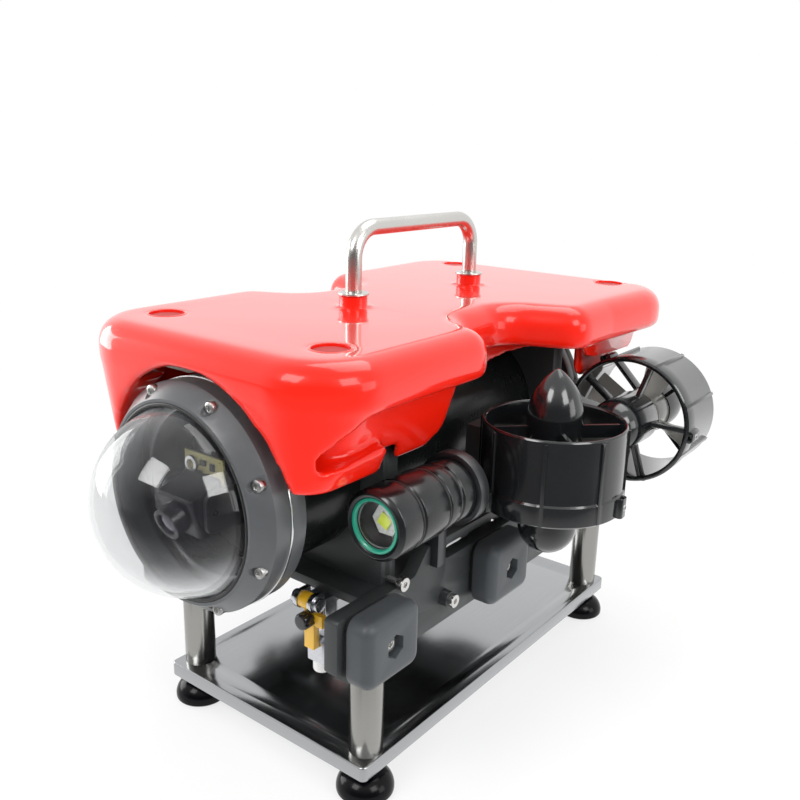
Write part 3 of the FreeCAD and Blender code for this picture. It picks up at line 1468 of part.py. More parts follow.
lamp_body, lamp_bezel, lamp_lens, lamp_led = make_lamp()
export("lamp_bodies", *both_sides(lamp_body))
export("lamp_bezels", *both_sides(lamp_bezel))
export("lamp_lenses", *both_sides(lamp_lens))
export("lamp_leds", *both_sides(lamp_led))
export("lamp_clamps", *both_sides(make_lamp_clamp()))

export("clamp_body", make_clamp_body())
export("clamp_pin", make_clamp_pin())
export("clamp_jaw", make_jaw())
export("clamp_knob", make_knob())
export("clamp_nylon_pad", make_nylon_pad())
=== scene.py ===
import math

import bmesh
import bpy
from mathutils import Matrix, Vector


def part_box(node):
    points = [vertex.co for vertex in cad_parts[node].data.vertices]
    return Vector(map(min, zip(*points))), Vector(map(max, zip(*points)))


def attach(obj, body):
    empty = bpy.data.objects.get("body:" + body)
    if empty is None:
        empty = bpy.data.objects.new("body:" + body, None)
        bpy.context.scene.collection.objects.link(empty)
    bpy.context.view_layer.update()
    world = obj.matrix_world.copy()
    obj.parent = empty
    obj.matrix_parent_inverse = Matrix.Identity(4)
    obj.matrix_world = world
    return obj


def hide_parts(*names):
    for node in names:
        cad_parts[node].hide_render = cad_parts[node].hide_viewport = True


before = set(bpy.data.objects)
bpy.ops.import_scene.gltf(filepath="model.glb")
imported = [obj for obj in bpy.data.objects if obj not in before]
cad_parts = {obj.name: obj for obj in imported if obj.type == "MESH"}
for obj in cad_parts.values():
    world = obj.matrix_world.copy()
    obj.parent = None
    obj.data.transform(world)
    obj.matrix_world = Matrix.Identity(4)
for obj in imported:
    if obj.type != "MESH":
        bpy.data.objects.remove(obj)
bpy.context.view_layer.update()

# ---------------------------------------------------------------------------
# Camera and studio. A plain pale floor, white surroundings and five large soft
# lamps; the camera stands ahead of the vehicle on its port side, a little above.
# ---------------------------------------------------------------------------
standpoint = (0.3892, -0.4823, 0.4050)
azimuth, pitch, roll = math.radians(37.62), math.radians(16.4), math.radians(1.46)
ahead = Vector((-math.sin(azimuth) * math.cos(pitch), math.cos(azimuth) * math.cos(pitch), -math.sin(pitch)))
across = Vector((math.cos(azimuth), math.sin(azimuth), 0))
upward = across.cross(ahead)
camera_x = across * math.cos(roll) + upward * math.sin(roll)
camera_y = upward * math.cos(roll) - across * math.sin(roll)

camera_data = bpy.data.cameras.new("camera")
camera_data.lens, camera_data.sensor_width = 40.25, 36.0
camera_data.clip_start = 0.01
camera = bpy.data.objects.new("camera", camera_data)
bpy.context.scene.collection.objects.link(camera)
camera.matrix_world = (Matrix.Translation(standpoint)
                       @ Matrix((camera_x, camera_y, -ahead)).transposed().to_4x4())
bpy.context.scene.camera = camera
bpy.context.scene.view_settings.view_transform = "Standard"


class Wire:
    """One socket of a node sheet; arithmetic on it adds the Math nodes."""

    def __init__(self, sheet, socket):
        self.sheet, self.socket = sheet, socket

    def maths(self, operation, *values):
        return self.sheet.add("ShaderNodeMath", {"operation": operation}, dict(enumerate((self,) + values)))

    def __add__(self, other):
        return self.maths("ADD", other)

    def __sub__(self, other):
        return self.maths("SUBTRACT", other)

    def __rsub__(self, other):
        return self.sheet.add("ShaderNodeMath", {"operation": "SUBTRACT"}, {0: other, 1: self})

    def __mul__(self, other):
        return self.maths("MULTIPLY", other)

    def between(self, low, high):
        """0 at low, 1 at high, held outside."""
        return self.sheet.add("ShaderNodeMapRange", {"clamp": True}, {0: self, 1: low, 2: high, 3: 0.0, 4: 1.0})

    __radd__ = __add__
    __rmul__ = __mul__


class Sheet:
    """A node tree that is filled by add()."""

    def __init__(self, tree):
        self.tree = tree

    def add(self, kind, settings=None, inputs=None, output=0):
        node = self.tree.nodes.new(kind)
        for key, value in (settings or {}).items():
            if key == "stops":
                while len(node.color_ramp.elements) < len(value):
                    node.color_ramp.elements.new(0.5)
                for element, (place, grey) in zip(node.color_ramp.elements, value):
                    element.position, element.color = place, (grey, grey, grey, 1)
            else:
                setattr(node, key, value)
        for key, value in (inputs or {}).items():
            if isinstance(value, Wire):
                self.tree.links.new(value.socket, node.inputs[key])
            else:
                node.inputs[key].default_value = value
        return Wire(self, node.outputs[output])


class Finish(Sheet):
    """A surface finish: one material around its Principled shader."""

    def __init__(self, name, colour, roughness, **fixed):
        self.material = bpy.data.materials.new(name)
        self.material.use_nodes = True
        super().__init__(self.material.node_tree)
        self.shader = self.tree.nodes["Principled BSDF"]
        self.colour = (*colour, 1.0)
        self.set("Base Color", self.colour)
        self.set("Roughness", roughness)
        for socket, value in fixed.items():
            self.set(socket.replace("_", " "), value)

    def set(self, socket, value):
        if isinstance(value, Wire):
            self.tree.links.new(value.socket, self.shader.inputs[socket])
        else:
            self.shader.inputs[socket].default_value = value

    def place(self, stretch=(1, 1, 1), turn=(0, 0, 0), move=(0, 0, 0)):
        point = self.add("ShaderNodeTexCoord", output="Object")
        return self.add("ShaderNodeMapping", {}, {"Vector": point, "Location": move, "Rotation": turn,
                                                  "Scale": stretch})

    def noise(self, scale, detail=3.0, point=None, rough=0.5):
        return self.add("ShaderNodeTexNoise", {}, {"Vector": point or self.place(), "Scale": scale,
                                                   "Detail": detail, "Roughness": rough})

    def mix(self, mask, first, second):
        return self.add("ShaderNodeMix", {"data_type": "RGBA"}, {0: mask, 6: first, 7: second}, 2)

    def shades(self, mask, dark, light):
        """Base colour from dark to light shares of the finish's own colour."""
        low = tuple(c * dark for c in self.colour[:3]) + (1.0,)
        high = tuple(min(c * light, 1.0) for c in self.colour[:3]) + (1.0,)
        self.set("Base Color", self.mix(mask, low, high))

    def blend(self, share, first, second):
        """Mix two shaders by share and make that the surface."""
        both = self.add("ShaderNodeMixShader", {}, {0: share, 1: first, 2: second})
        self.tree.links.new(both.socket, self.tree.nodes["Material Output"].inputs["Surface"])
        return both

    def relief(self, height, depth, strength=1.0):
        self.set("Normal", self.add("ShaderNodeBump", {}, {"Strength": strength, "Distance": depth,
                                                           "Height": height}))


world = bpy.data.worlds.new("studio")
world.use_nodes = True
bpy.context.scene.world = world
studio = Sheet(world.node_tree)


def ray_share(sheet, kind):
    """1 for a ray of this kind, 0 for any other."""
    return sheet.add("ShaderNodeLightPath", output=kind)


front_side, front_dark, ambient = (0.61, -0.79, 0.0), 0.86, 0.56
compass = studio.add("ShaderNodeTexCoord", output="Generated")
ahead_share = studio.add("ShaderNodeVectorMath", {"operation": "DOT_PRODUCT"}, {0: compass, 1: front_side},
                         "Value")
height = studio.add("ShaderNodeSeparateXYZ", {}, {0: compass}, "Z")
mirrored_level = 1 - ahead_share.between(0.05, 0.75) * (1 - height.between(0.30, 0.75)) * front_dark
plain = ray_share(studio, "Is Camera Ray").maths("MAXIMUM", ray_share(studio, "Is Transmission Ray"))
mirrored = ray_share(studio, "Is Glossy Ray")
strength = (plain * (1 - ambient) + ambient) * (1 - mirrored) + mirrored_level * mirrored
world.node_tree.nodes["Background"].inputs["Color"].default_value = (1, 1, 1, 1)
world.node_tree.links.new(strength.socket, world.node_tree.nodes["Background"].inputs["Strength"])


def soft_lamp(name, place, target, width, height, power):
    """One soft box at place that faces target."""
    light = bpy.data.lights.new(name, "AREA")
    light.shape, light.size, light.size_y, light.energy = "RECTANGLE", width, height, power
    lamp = bpy.data.objects.new(name, light)
    lamp.location = place
    lamp.rotation_euler = (Vector(target) - Vector(place)).to_track_quat("-Z", "Y").to_euler()
    bpy.context.scene.collection.objects.link(lamp)


soft_lamp("key", (-0.14, -1.32, 1.30), (0, 0, 0.2), 0.7, 0.7, 12)
soft_lamp("fill", (1.42, -0.30, 1.12), (0, 0, 0.2), 0.7, 0.7, 10)
soft_lamp("overhead", (0.1, 0.5, 1.7), (0, 0, 0.2), 1.3, 1.0, 12)
soft_lamp("left_panel", (-1.25, -0.42, 0.42), (0, -0.15, 0.2), 0.8, 0.7, 9)
soft_lamp("right_panel", (1.45, 0.35, 0.45), (0, 0.05, 0.2), 0.6, 0.6, 3)

floor_half, floor_drop = 6.0, 0.0006
corners = [(x * floor_half, y * floor_half, -floor_drop) for x, y in ((-1, -1), (1, -1), (1, 1), (-1, 1))]
floor_mesh = bpy.data.meshes.new("floor")
floor_mesh.from_pydata(corners, [], [(0, 1, 2, 3)])
floor = bpy.data.objects.new("floor", floor_mesh)
bpy.context.scene.collection.objects.link(floor)
pale = Finish("floor_pale", (0.96, 0.96, 0.96), 0.9)
pale.shades(pale.noise(3.0), 0.995, 1.0)
spot = pale.add("ShaderNodeTexCoord", output="Object")
reach = pale.add("ShaderNodeVectorMath", {"operation": "LENGTH"}, {0: spot}, "Value")
ahead_reach = pale.add("ShaderNodeVectorMath", {"operation": "DOT_PRODUCT"}, {0: spot, 1: front_side}, "Value")
floor_mirrored = ray_share(pale, "Is Glossy Ray")
floor_plain = ray_share(pale, "Is Camera Ray").maths("MAXIMUM", ray_share(pale, "Is Transmission Ray"))
floor_glow = 1 - floor_mirrored * ahead_reach.between(0.15, 0.60) * front_dark
glow = pale.add("ShaderNodeEmission", {}, {"Color": (1, 1, 1, 1), "Strength": floor_glow})
share = floor_plain * (reach.between(0.35, 1.1) * 0.30 + 0.70) + floor_mirrored * 0.95
pale.blend(share.maths("MINIMUM", 1.0), Wire(pale, pale.shader.outputs[0]), glow)
floor_mesh.materials.append(pale.material)

# ---------------------------------------------------------------------------
# Stand plate. Stainless sheet with its edges folded down and the corners
# ground flush, brushed along its length.
# ---------------------------------------------------------------------------
def keep_piece(name, mesh, body, finish, nodes=()):
    """Link a finished mesh at the origin, with its finish, and let it ride on its body."""
    piece = bpy.data.objects.new(name, mesh)
    bpy.context.scene.collection.objects.link(piece)
    mesh.materials.clear()
    mesh.materials.append(finish.material)
    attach(piece, body)
    if nodes:
        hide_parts(*nodes)
    return piece


def settled(piece):
    """Plain mesh of a piece with its modifiers applied; the working object is dropped."""
    bpy.context.view_layer.update()
    evaluated = piece.evaluated_get(bpy.context.evaluated_depsgraph_get())
    mesh = bpy.data.meshes.new_from_object(evaluated)
    bpy.data.objects.remove(piece)
    return mesh


def smooth_by_angle(mesh, degrees):
    """Smooth shading with edges sharper than the angle kept crisp."""
    mesh.shade_smooth()
    mesh.set_sharp_from_angle(angle=math.radians(degrees))


def joined_copy(node):
    """The node's solid as one welded mesh with its flat faces whole."""
    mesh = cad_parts[node].data.copy()
    work = bmesh.new()
    work.from_mesh(mesh)
    bmesh.ops.remove_doubles(work, verts=work.verts, dist=1e-6)
    bmesh.ops.dissolve_limit(work, angle_limit=math.radians(0.4), verts=work.verts, edges=work.edges)
    work.to_mesh(mesh)
    work.free()
    if "custom_normal" in mesh.attributes:
        mesh.attributes.remove(mesh.attributes["custom_normal"])
    return mesh


def eased_piece(node, body, finish, width, segments=2, angle=30):
    """The node's shape with its sharp edges eased by width, as machining or moulding leaves them."""
    work = bpy.data.objects.new("work", joined_copy(node))
    bpy.context.scene.collection.objects.link(work)
    bevel = work.modifiers.new("ease", "BEVEL")
    bevel.width, bevel.segments, bevel.limit_method = width, segments, "ANGLE"
    bevel.angle_limit = math.radians(angle)
    bevel.use_clamp_overlap = True
    mesh = settled(work)
    smooth_by_angle(mesh, 40)
    return keep_piece(node + "_finished", mesh, body, finish, [node])


def brushed_steel(name, colour, roughness, grain):
    """Stainless steel whose brush marks are long where grain is small."""
    steel = Finish(name, colour, roughness, Metallic=1.0)
    marks = steel.noise(1.0, 4.0, steel.place(grain), 0.6)
    smears = steel.noise(22.0, 2.0)
    steel.shades(marks * 0.7 + smears * 0.3, 0.80, 1.12)
    steel.set("Roughness", marks * 0.10 + smears * 0.08 + (roughness - 0.09))
    steel.relief(marks, 0.00002, 0.4)
    return steel


plate_steel = brushed_steel("plate_steel", (0.42, 0.43, 0.44), 0.17, (2600, 18, 2600))
eased_piece("stand_plate", "stand", plate_steel, 0.0006)

# ---------------------------------------------------------------------------
# Stand posts. Stainless tube, turned and brushed around, with a shallow seat
# for the vehicle's side plates at the top.
# ---------------------------------------------------------------------------
post_steel = brushed_steel("post_steel", (0.36, 0.355, 0.335), 0.22, (60, 60, 4200))
eased_piece("stand_posts", "stand", post_steel, 0.0003)

# ---------------------------------------------------------------------------
# Levelling feet. Black moulded cups on plain studs with hexagon collars; each
# cup moves along its stud, so it rides on a body of its own.
# ---------------------------------------------------------------------------
def moulded_black(name, colour, roughness, grain=0.00002, coat=0.0, gloss=0.5):
    """Black moulding: fine grain, a slight mottle and handling marks in the gloss."""
    black = Finish(name, colour, roughness, Coat_Weight=coat, Coat_Roughness=0.08, Specular_IOR_Level=gloss)
    mottle = black.noise(90.0, 3.0)
    speckle = black.noise(1400.0, 2.0)
    marks = black.noise(14.0, 5.0, black.place((1, 1, 3)))
    black.shades(mottle * 0.6 + speckle * 0.4, 0.78, 1.25)
    black.set("Roughness", marks * 0.16 + speckle * 0.05 + (roughness - 0.10))
    black.relief(speckle, grain, 0.6)
    return black


foot_black = moulded_black("foot_black", (0.002, 0.002, 0.003), 0.16, 0.00001, 0.0, 0.16)
stud_steel = brushed_steel("stud_steel", (0.60, 0.60, 0.60), 0.28, (900, 900, 300))
eased_piece("foot_studs", "stand", stud_steel, 0.0003)
for number in range(1, 5):
    eased_piece("levelling_foot_%d" % number, "foot_%d" % number, foot_black, 0.0006, 3)

# ---------------------------------------------------------------------------
# Side plates, trays, arms, bulkheads and rails. Thick black polyethylene,
# routed to shape, with a faint cutter mark and scuffed faces.
# ---------------------------------------------------------------------------
def routed_black(name, colour, roughness):
    """Thick black sheet with cutter grain and pale scuffs."""
    sheet = Finish(name, colour, roughness, Specular_IOR_Level=0.45)
    scuffs = sheet.noise(26.0, 6.0, sheet.place((1, 2.5, 1)), 0.62)
    grain = sheet.noise(1.0, 2.0, sheet.place((1500, 260, 1500)))
    sheet.shades(scuffs * 0.75 + grain * 0.25, 0.66, 1.35)
    sheet.set("Roughness", scuffs.between(0.3, 0.8) * 0.22 + (roughness - 0.08))
    sheet.relief(grain + scuffs, 0.00004, 0.5)
    return sheet


frame_black = routed_black("frame_black", (0.036, 0.040, 0.041), 0.40)
for node, ease in (("side_plate_port", 0.0008), ("side_plate_starboard", 0.0008), ("tray_plates", 0.0006),
                   ("thruster_arms", 0.0006), ("hull_bulkheads", 0.0006), ("shell_rails", 0.0004)):
    eased_piece(node, "vehicle", frame_black, ease)

# ---------------------------------------------------------------------------
# Cross bars and lamp clamps. Black anodised alloy: the bars between the side
# plates, and the clamps around the lamp housings.
# ---------------------------------------------------------------------------
def anodised(name, colour, roughness, stretch=(1, 1, 1), coat=0.0, gloss=0.7):
    """Dark anodised or painted metal with turning marks along stretch."""
    skin = Finish(name, colour, roughness, Metallic=0.0, Specular_IOR_Level=gloss, Coat_Weight=coat,
                  Coat_Roughness=0.12)
    cloud = skin.noise(34.0, 5.0, rough=0.6)
    turning = skin.noise(1.0, 2.0, skin.place(tuple(1300 * s for s in stretch)))
    skin.shades(cloud * 0.8 + turning * 0.2, 0.72, 1.28)
    skin.set("Roughness", cloud.between(0.25, 0.75) * 0.10 + turning * 0.04 + (roughness - 0.07))
    skin.relief(turning, 0.00001, 0.4)
    return skin


bar_black = anodised("bar_black", (0.020, 0.022, 0.024), 0.34)
eased_piece("cross_bars", "vehicle", bar_black, 0.0004)
eased_piece("lamp_clamps", "vehicle", bar_black, 0.0004)

# ---------------------------------------------------------------------------
# Bumper pads. Moulded rubber blocks on a thin gasket, with a hexagon pocket
# for the fixing screw.
# ---------------------------------------------------------------------------
def moulded_rubber(name, colour, roughness):
    """Matt rubber with fine pores and a faint bloom."""
    rubber = Finish(name, colour, roughness, Specular_IOR_Level=0.4, Sheen_Weight=0.15, Sheen_Roughness=0.4)
    bloom = rubber.noise(40.0, 5.0, rough=0.6)
    pores = rubber.noise(1100.0, 3.0)
    rubber.shades(bloom * 0.7 + pores * 0.3, 0.75, 1.3)
    rubber.set("Roughness", bloom * 0.18 + (roughness - 0.09))
    rubber.relief(pores + bloom * 0.5, 0.00006, 0.6)
    return rubber


pad_rubber = moulded_rubber("pad_rubber", (0.054, 0.061, 0.067), 0.44)
gasket_rubber = moulded_rubber("gasket_rubber", (0.012, 0.012, 0.013), 0.55)
eased_piece("bumper_pads", "vehicle", pad_rubber, 0.0010, 3)
eased_piece("pad_gaskets", "vehicle", gasket_rubber, 0.0006)

# ---------------------------------------------------------------------------
# Pressure hull. A black anodised tube with flanges, sealed by rings, a bright
# shim and a conical retaining ring at the dome, and a cap with fittings at
# the tail.
# ---------------------------------------------------------------------------
def finished_mesh(work, degrees=35):
    """Plain mesh of a bmesh, smooth up to the given angle."""
    mesh = bpy.data.meshes.new("mesh")
    work.to_mesh(mesh)
    work.free()
    smooth_by_angle(mesh, degrees)
    return mesh


def turned(profile, segments=48, hexed=()):
    """Mesh of a profile of (radius, height) points turned round the Z axis; hexed points follow a hexagon."""
    work = bmesh.new()
    rings = []
    for k in range(segments):
        a = 2 * math.pi * k / segments
        flats = 1 / math.cos((a + math.pi / 6) % (math.pi / 3) - math.pi / 6)
        reaches = [(r * (flats if j in hexed else 1), z) for j, (r, z) in enumerate(profile)]
        rings.append([work.verts.new((r * math.cos(a), r * math.sin(a), z)) for r, z in reaches])
    count = len(profile)
    for k in range(segments):
        near, far = rings[k], rings[(k + 1) % segments]
        for j in range(count):
            work.faces.new((near[j], near[(j + 1) % count], far[(j + 1) % count], far[j]))
    bmesh.ops.remove_doubles(work, verts=work.verts, dist=1e-7)
    bmesh.ops.recalc_face_normals(work, faces=work.faces)
    return finished_mesh(work)


def repeat_tree():
    """Node tree that puts the item on every point, by the point's own turn and size, slightly varied."""
    tree = bpy.data.node_groups.new("repeat_on_points", "GeometryNodeTree")
    for label, kind in (("Geometry", "Geometry"), ("Item", "Object"), ("Finish", "Material"),
                        ("Variation", "Float"), ("Seed", "Int")):
        tree.interface.new_socket(label, in_out="INPUT", socket_type="NodeSocket" + kind)
    tree.interface.new_socket("Geometry", in_out="OUTPUT", socket_type="NodeSocketGeometry")
    sheet = Sheet(tree)
    given = tree.nodes.new("NodeGroupInput")
    points, item, finish, variation, seed = [Wire(sheet, given.outputs[label]) for label in
                                             ("Geometry", "Item", "Finish", "Variation", "Seed")]
    shape = sheet.add("GeometryNodeObjectInfo", {}, {"Object": item}, "Geometry")
    turn = sheet.add("GeometryNodeInputNamedAttribute", {"data_type": "FLOAT_VECTOR"}, {"Name": "turn"})
    size = sheet.add("GeometryNodeInputNamedAttribute", {"data_type": "FLOAT_VECTOR"}, {"Name": "size"})
    chance = sheet.add("FunctionNodeRandomValue", {}, {2: 1 - variation, 3: 1.0, "Seed": seed}, 1)
    scale = sheet.add("ShaderNodeVectorMath", {"operation": "SCALE"}, {0: size, "Scale": chance})
    copies = sheet.add("GeometryNodeInstanceOnPoints", {}, {"Points": points, "Instance": shape,
                                                            "Rotation": turn, "Scale": scale})
    whole = sheet.add("GeometryNodeRealizeInstances", {}, {"Geometry": copies})
    dressed = sheet.add("GeometryNodeSetMaterial", {}, {"Geometry": whole, "Material": finish})
    out = tree.nodes.new("NodeGroupOutput")
    tree.links.new(dressed.socket, out.inputs[0])
    return tree


repeat_on_points = repeat_tree()


def repeated(name, item, spots, body, finish, nodes=(), variation=0.0, seed=1):
    """Keep a piece made of one item repeated at spots of (place, turn, size)."""
    cloud = bpy.data.meshes.new("spots")
    cloud.from_pydata([spot[0] for spot in spots], [], [])
    for label, column in (("turn", 1), ("size", 2)):
        field = cloud.attributes.new(label, "FLOAT_VECTOR", "POINT")
        for value, spot in zip(field.data, spots):
            value.vector = spot[column]
    work, pattern = bpy.data.objects.new("work", cloud), bpy.data.objects.new("item", item)
    bpy.context.scene.collection.objects.link(work)
    bpy.context.scene.collection.objects.link(pattern)
    nodes_modifier = work.modifiers.new("repeat", "NODES")
    nodes_modifier.node_group = repeat_on_points
    given = {"Item": pattern, "Finish": finish.material, "Variation": variation, "Seed": seed}
    for socket in repeat_on_points.interface.items_tree:
        if socket.in_out == "INPUT" and socket.name in given:
            nodes_modifier[socket.identifier] = given[socket.name]
    mesh = settled(work)
    bpy.data.objects.remove(pattern)
    return keep_piece(name, mesh, body, finish, nodes)


full = (1.0, 1.0, 1.0)
# Painted shade: the tube's black is made near-black, far darker than its flanges, for the shade under the shell.
hull_black = anodised("hull_black", (0.006, 0.007, 0.007), 0.26, (0.05, 1, 0.05), 0.0, 0.35)
ring_black = anodised("ring_black", (0.075, 0.080, 0.085), 0.33, (0.1, 0.1, 0.1))
fitting_black = anodised("fitting_black", (0.030, 0.031, 0.033), 0.35, (0.1, 1, 0.1))
seal_black = moulded_rubber("seal_black", (0.015, 0.015, 0.015), 0.40)
shim_bright = brushed_steel("shim_bright", (0.85, 0.85, 0.85), 0.20, (300, 300, 300))
eased_piece("hull_tube", "vehicle", hull_black, 0.0003)
eased_piece("hull_flanges", "vehicle", ring_black, 0.0006)
eased_piece("hull_seals", "vehicle", seal_black, 0.0001)
eased_piece("shim_ring", "vehicle", shim_bright, 0.0002)
eased_piece("dome_ring", "vehicle", ring_black, 0.0006, 3, 20)
for node in ("rear_cap", "cable_penetrators", "tether_gland"):
    eased_piece(node, "vehicle", fitting_black, 0.0005)
eased_piece("vent_plug", "vehicle", stud_steel, 0.0003)
ring_low, ring_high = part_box("dome_ring")
hull_axis = (ring_low.z + ring_high.z) / 2
facing_front = (math.pi / 2, 0, 0)
button = turned([(0, -0.0012), (0.0018, -0.0012), (0.0018, 0.0005), (0.0020, 0.0007), (0.0030, 0.0006),
                 (0.0036, 0.0002), (0.0038, -0.0004), (0.0038, -0.0018), (0, -0.0018)], 36, (1, 2))
screw_count, screw_circle, screw_seat = 8, 0.066, ring_low.y + 0.0054
ring_spots = []
for k in range(screw_count):
    angle = 2 * math.pi * (k + 0.5) / screw_count
    ring_spots.append(((screw_circle * math.cos(angle), screw_seat, hull_axis + screw_circle * math.sin(angle)),
                       facing_front, full))
button_steel = brushed_steel("button_steel", (0.52, 0.52, 0.51), 0.36, (700, 700, 700))
repeated("ring_screws", button, ring_spots, "vehicle", button_steel, ["small_screws"])


def round_section(radius, thickness, points):
    """Profile of a sealing ring: a small circle at radius."""
    steps = [2 * math.pi * k / points for k in range(points)]
    return [(radius + thickness * math.cos(a), thickness * math.sin(a)) for a in steps]


lip_seal = turned(round_section(0.05825, 0.00125, 12), 96)
repeated("dome_lip_seal", lip_seal, [((0, ring_low.y + 0.0009, hull_axis), facing_front, full)], "vehicle",
         seal_black, ["hull_seals"])

# ---------------------------------------------------------------------------
# Dome window. Clear acrylic, 3 mm thick, blown and polished, with a flat foot
# clamped under the ring; it mirrors the soft boxes. Its colour is painted pale
# low down and at the rim: painted light and painted reflection.
# ---------------------------------------------------------------------------
dome_clear = Finish("dome_clear", (0.85, 0.87, 0.88), 0.02, Specular_IOR_Level=0.5, Coat_Weight=1.0,
                    Coat_IOR=4.0, Coat_Roughness=0.015)
dome_smudge = dome_clear.noise(9.0, 5.0, rough=0.6)
dome_facing = dome_clear.add("ShaderNodeLayerWeight", {}, {"Blend": 0.5}, "Facing")
dome_rim = dome_facing * dome_facing * dome_facing
dome_normal = dome_clear.add("ShaderNodeNewGeometry", output="Normal")
# Painted light and painted reflection: the colour turns pale on downward faces (painted light) and towards the
# rim (painted reflection).
dome_low_painted_light = (0 - dome_clear.add("ShaderNodeSeparateXYZ", {}, {0: dome_normal}, "Z")).between(0.25, 0.85)
dome_painted_paleness = dome_facing.between(0.2, 0.8).maths("MAXIMUM", dome_low_painted_light)
dome_clear.set("Base Color", dome_clear.mix(dome_painted_paleness, (0.06, 0.06, 0.07, 1), (0.88, 0.90, 0.91, 1)))
dome_clear.set("Roughness", dome_smudge * 0.04 + 0.02)
neck_front, neck_back = -0.178, -0.176
neck = dome_clear.add("ShaderNodeSeparateXYZ", {}, {0: dome_clear.place()}, "Y").between(neck_front, neck_back)
# The opaque pale share also rises on downward faces. This is painted light, added to the rim's glass gloss.
cover = (dome_rim * 0.34 + dome_low_painted_light * 0.42 + dome_smudge * 0.02 + 0.10) * (1 - neck * 0.9)
bare = dome_clear.add("ShaderNodeBsdfTransparent", {}, {"Color": (0.985, 0.988, 0.990, 1)})
dome_clear.blend(cover.maths("MINIMUM", 1.0), bare, Wire(dome_clear, dome_clear.shader.outputs[0]))
eased_piece("dome_window", "vehicle", dome_clear, 0.0003, 2, 35)

# ---------------------------------------------------------------------------
# Inside the hull. A machined chassis carries the battery, the boards, the
# tilting camera on its bracket and the servo that turns it.
# ---------------------------------------------------------------------------
chassis_black = anodised("chassis_black", (0.012, 0.011, 0.012), 0.40)
bracket_black = anodised("bracket_black", (0.008, 0.008, 0.012), 0.30)
battery_blue = moulded_black("battery_blue", (0.03, 0.09, 0.30), 0.30)
camera_black = moulded_black("camera_black", (0.007, 0.007, 0.012), 0.24)
for node, body, finish, slot in (
        ("electronics_tray", "vehicle", chassis_black, "chassis_alloy"),
        ("camera_bracket", "vehicle", bracket_black, "chassis_alloy"),
        ("battery_pack", "vehicle", battery_blue, "battery_wrap"),
        ("tilt_servo", "vehicle", camera_black, "camera_black"),
        ("camera_module", "camera", camera_black, "camera_black")):
    eased_piece(node, body, finish, 0.0004)

board_green = Finish("board_green", (0.10, 0.16, 0.035), 0.32, Coat_Weight=0.6)
traces = board_green.add("ShaderNodeTexVoronoi", {"distance": "MANHATTAN"}, {"Vector": board_green.place(),
                                                                             "Scale": 420.0})
board_green.set("Base Color", board_green.mix(traces.between(0.28, 0.36), (0.16, 0.22, 0.05, 1),
                                              (0.40, 0.36, 0.12, 1)))
board_green.relief(traces, 0.00005, 0.6)
eased_piece("control_board", "vehicle", board_green, 0.0001)
eased_piece("sensor_board", "vehicle", board_green, 0.0001)

lens_glass = Finish("lens_glass", (0.010, 0.008, 0.030), 0.05, Coat_Weight=1.0)
lens_glass.set("Base Color", lens_glass.mix(lens_glass.noise(160.0), (0.006, 0.006, 0.020, 1),
                                            (0.03, 0.012, 0.06, 1)))
eased_piece("camera_lens", "camera", lens_glass, 0.0002)

# ---------------------------------------------------------------------------
# Around the camera. Its own small board with a coil and chips, a satin ring at
# the lens, and the chips and the yellow coil of the sensor board.
# ---------------------------------------------------------------------------
def soft_block(size, ease=0.0002, middle=(0, 0, 0)):
    """Mesh of a block with its edges eased."""
    work = bmesh.new()
    bmesh.ops.create_cube(work, size=1.0, matrix=Matrix.Translation(middle) @ Matrix.Diagonal((*size, 1)))
    bmesh.ops.bevel(work, geom=work.edges, offset=ease, segments=2, profile=0.5, affect="EDGES",
                    clamp_overlap=True)
    return finished_mesh(work)


lens_low, lens_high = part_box("camera_lens")
lens_ring = turned([(0.0072, -0.0030), (0.0092, -0.0030), (0.0092, 0.0006), (0.0086, 0.0012), (0.0076, 0.0012),
                    (0.0070, 0.0004)], 48)
lens_spot = ((lens_low.x + lens_high.x) / 2, lens_low.y + 0.0032, (lens_low.z + lens_high.z) / 2)
ring_satin = brushed_steel("ring_satin", (0.20, 0.19, 0.19), 0.30, (500, 500, 500))
nose_down = math.radians(18)
repeated("lens_ring", lens_ring, [(lens_spot, (math.pi / 2 + nose_down, 0, 0), full)], "camera", ring_satin,
         ["camera_lens"])
board_y, chip_y, coil_y = -0.1628, -0.1641, -0.1642
camera_board = soft_block((0.034, 0.0016, 0.019), 0.0003, (0, board_y, 0.2150))
keep_piece("camera_board", camera_board, "camera", board_green, ["camera_module"])
chip_black = moulded_black("chip_black", (0.012, 0.012, 0.014), 0.35)
camera_chips = [((x, chip_y, z), (0, 0, 0), (w, 1, h)) for x, z, w, h in (
    (0.0000, 0.2195, 1.2, 0.8), (0.0080, 0.2185, 0.9, 1.1), (-0.0030, 0.2130, 0.8, 0.6),
    (0.0045, 0.2125, 0.6, 0.6), (0.0105, 0.2120, 0.7, 0.5), (-0.0120, 0.2110, 0.7, 0.7))]
chip = soft_block((0.0040, 0.0014, 0.0040), 0.0002)
repeated("camera_chips", chip, camera_chips, "camera", chip_black, ["camera_module"])
board_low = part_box("sensor_board")[0]
sensor_chips = [((board_low.x + 0.0022, board_low.y + y, board_low.z + z), (0, 0, math.pi / 2), (w, 1, h))
                for y, z, w, h in ((0.004, 0.006, 0.9, 1.1), (0.011, 0.005, 0.7, 0.5), (0.018, 0.007, 1.1, 0.8),
                                   (0.005, 0.015, 0.6, 0.9), (0.020, 0.017, 0.8, 1.0), (0.006, 0.024, 1.2, 0.8),
                                   (0.016, 0.025, 0.7, 0.7))]
repeated("sensor_chips", chip, sensor_chips, "vehicle", chip_black, ["sensor_board"])
camera_coil = turned([(0.0028, -0.0008), (0.0050, -0.0008), (0.0054, 0.0004), (0.0050, 0.0016),
                      (0.0032, 0.0018), (0.0028, 0.0010)], 40)
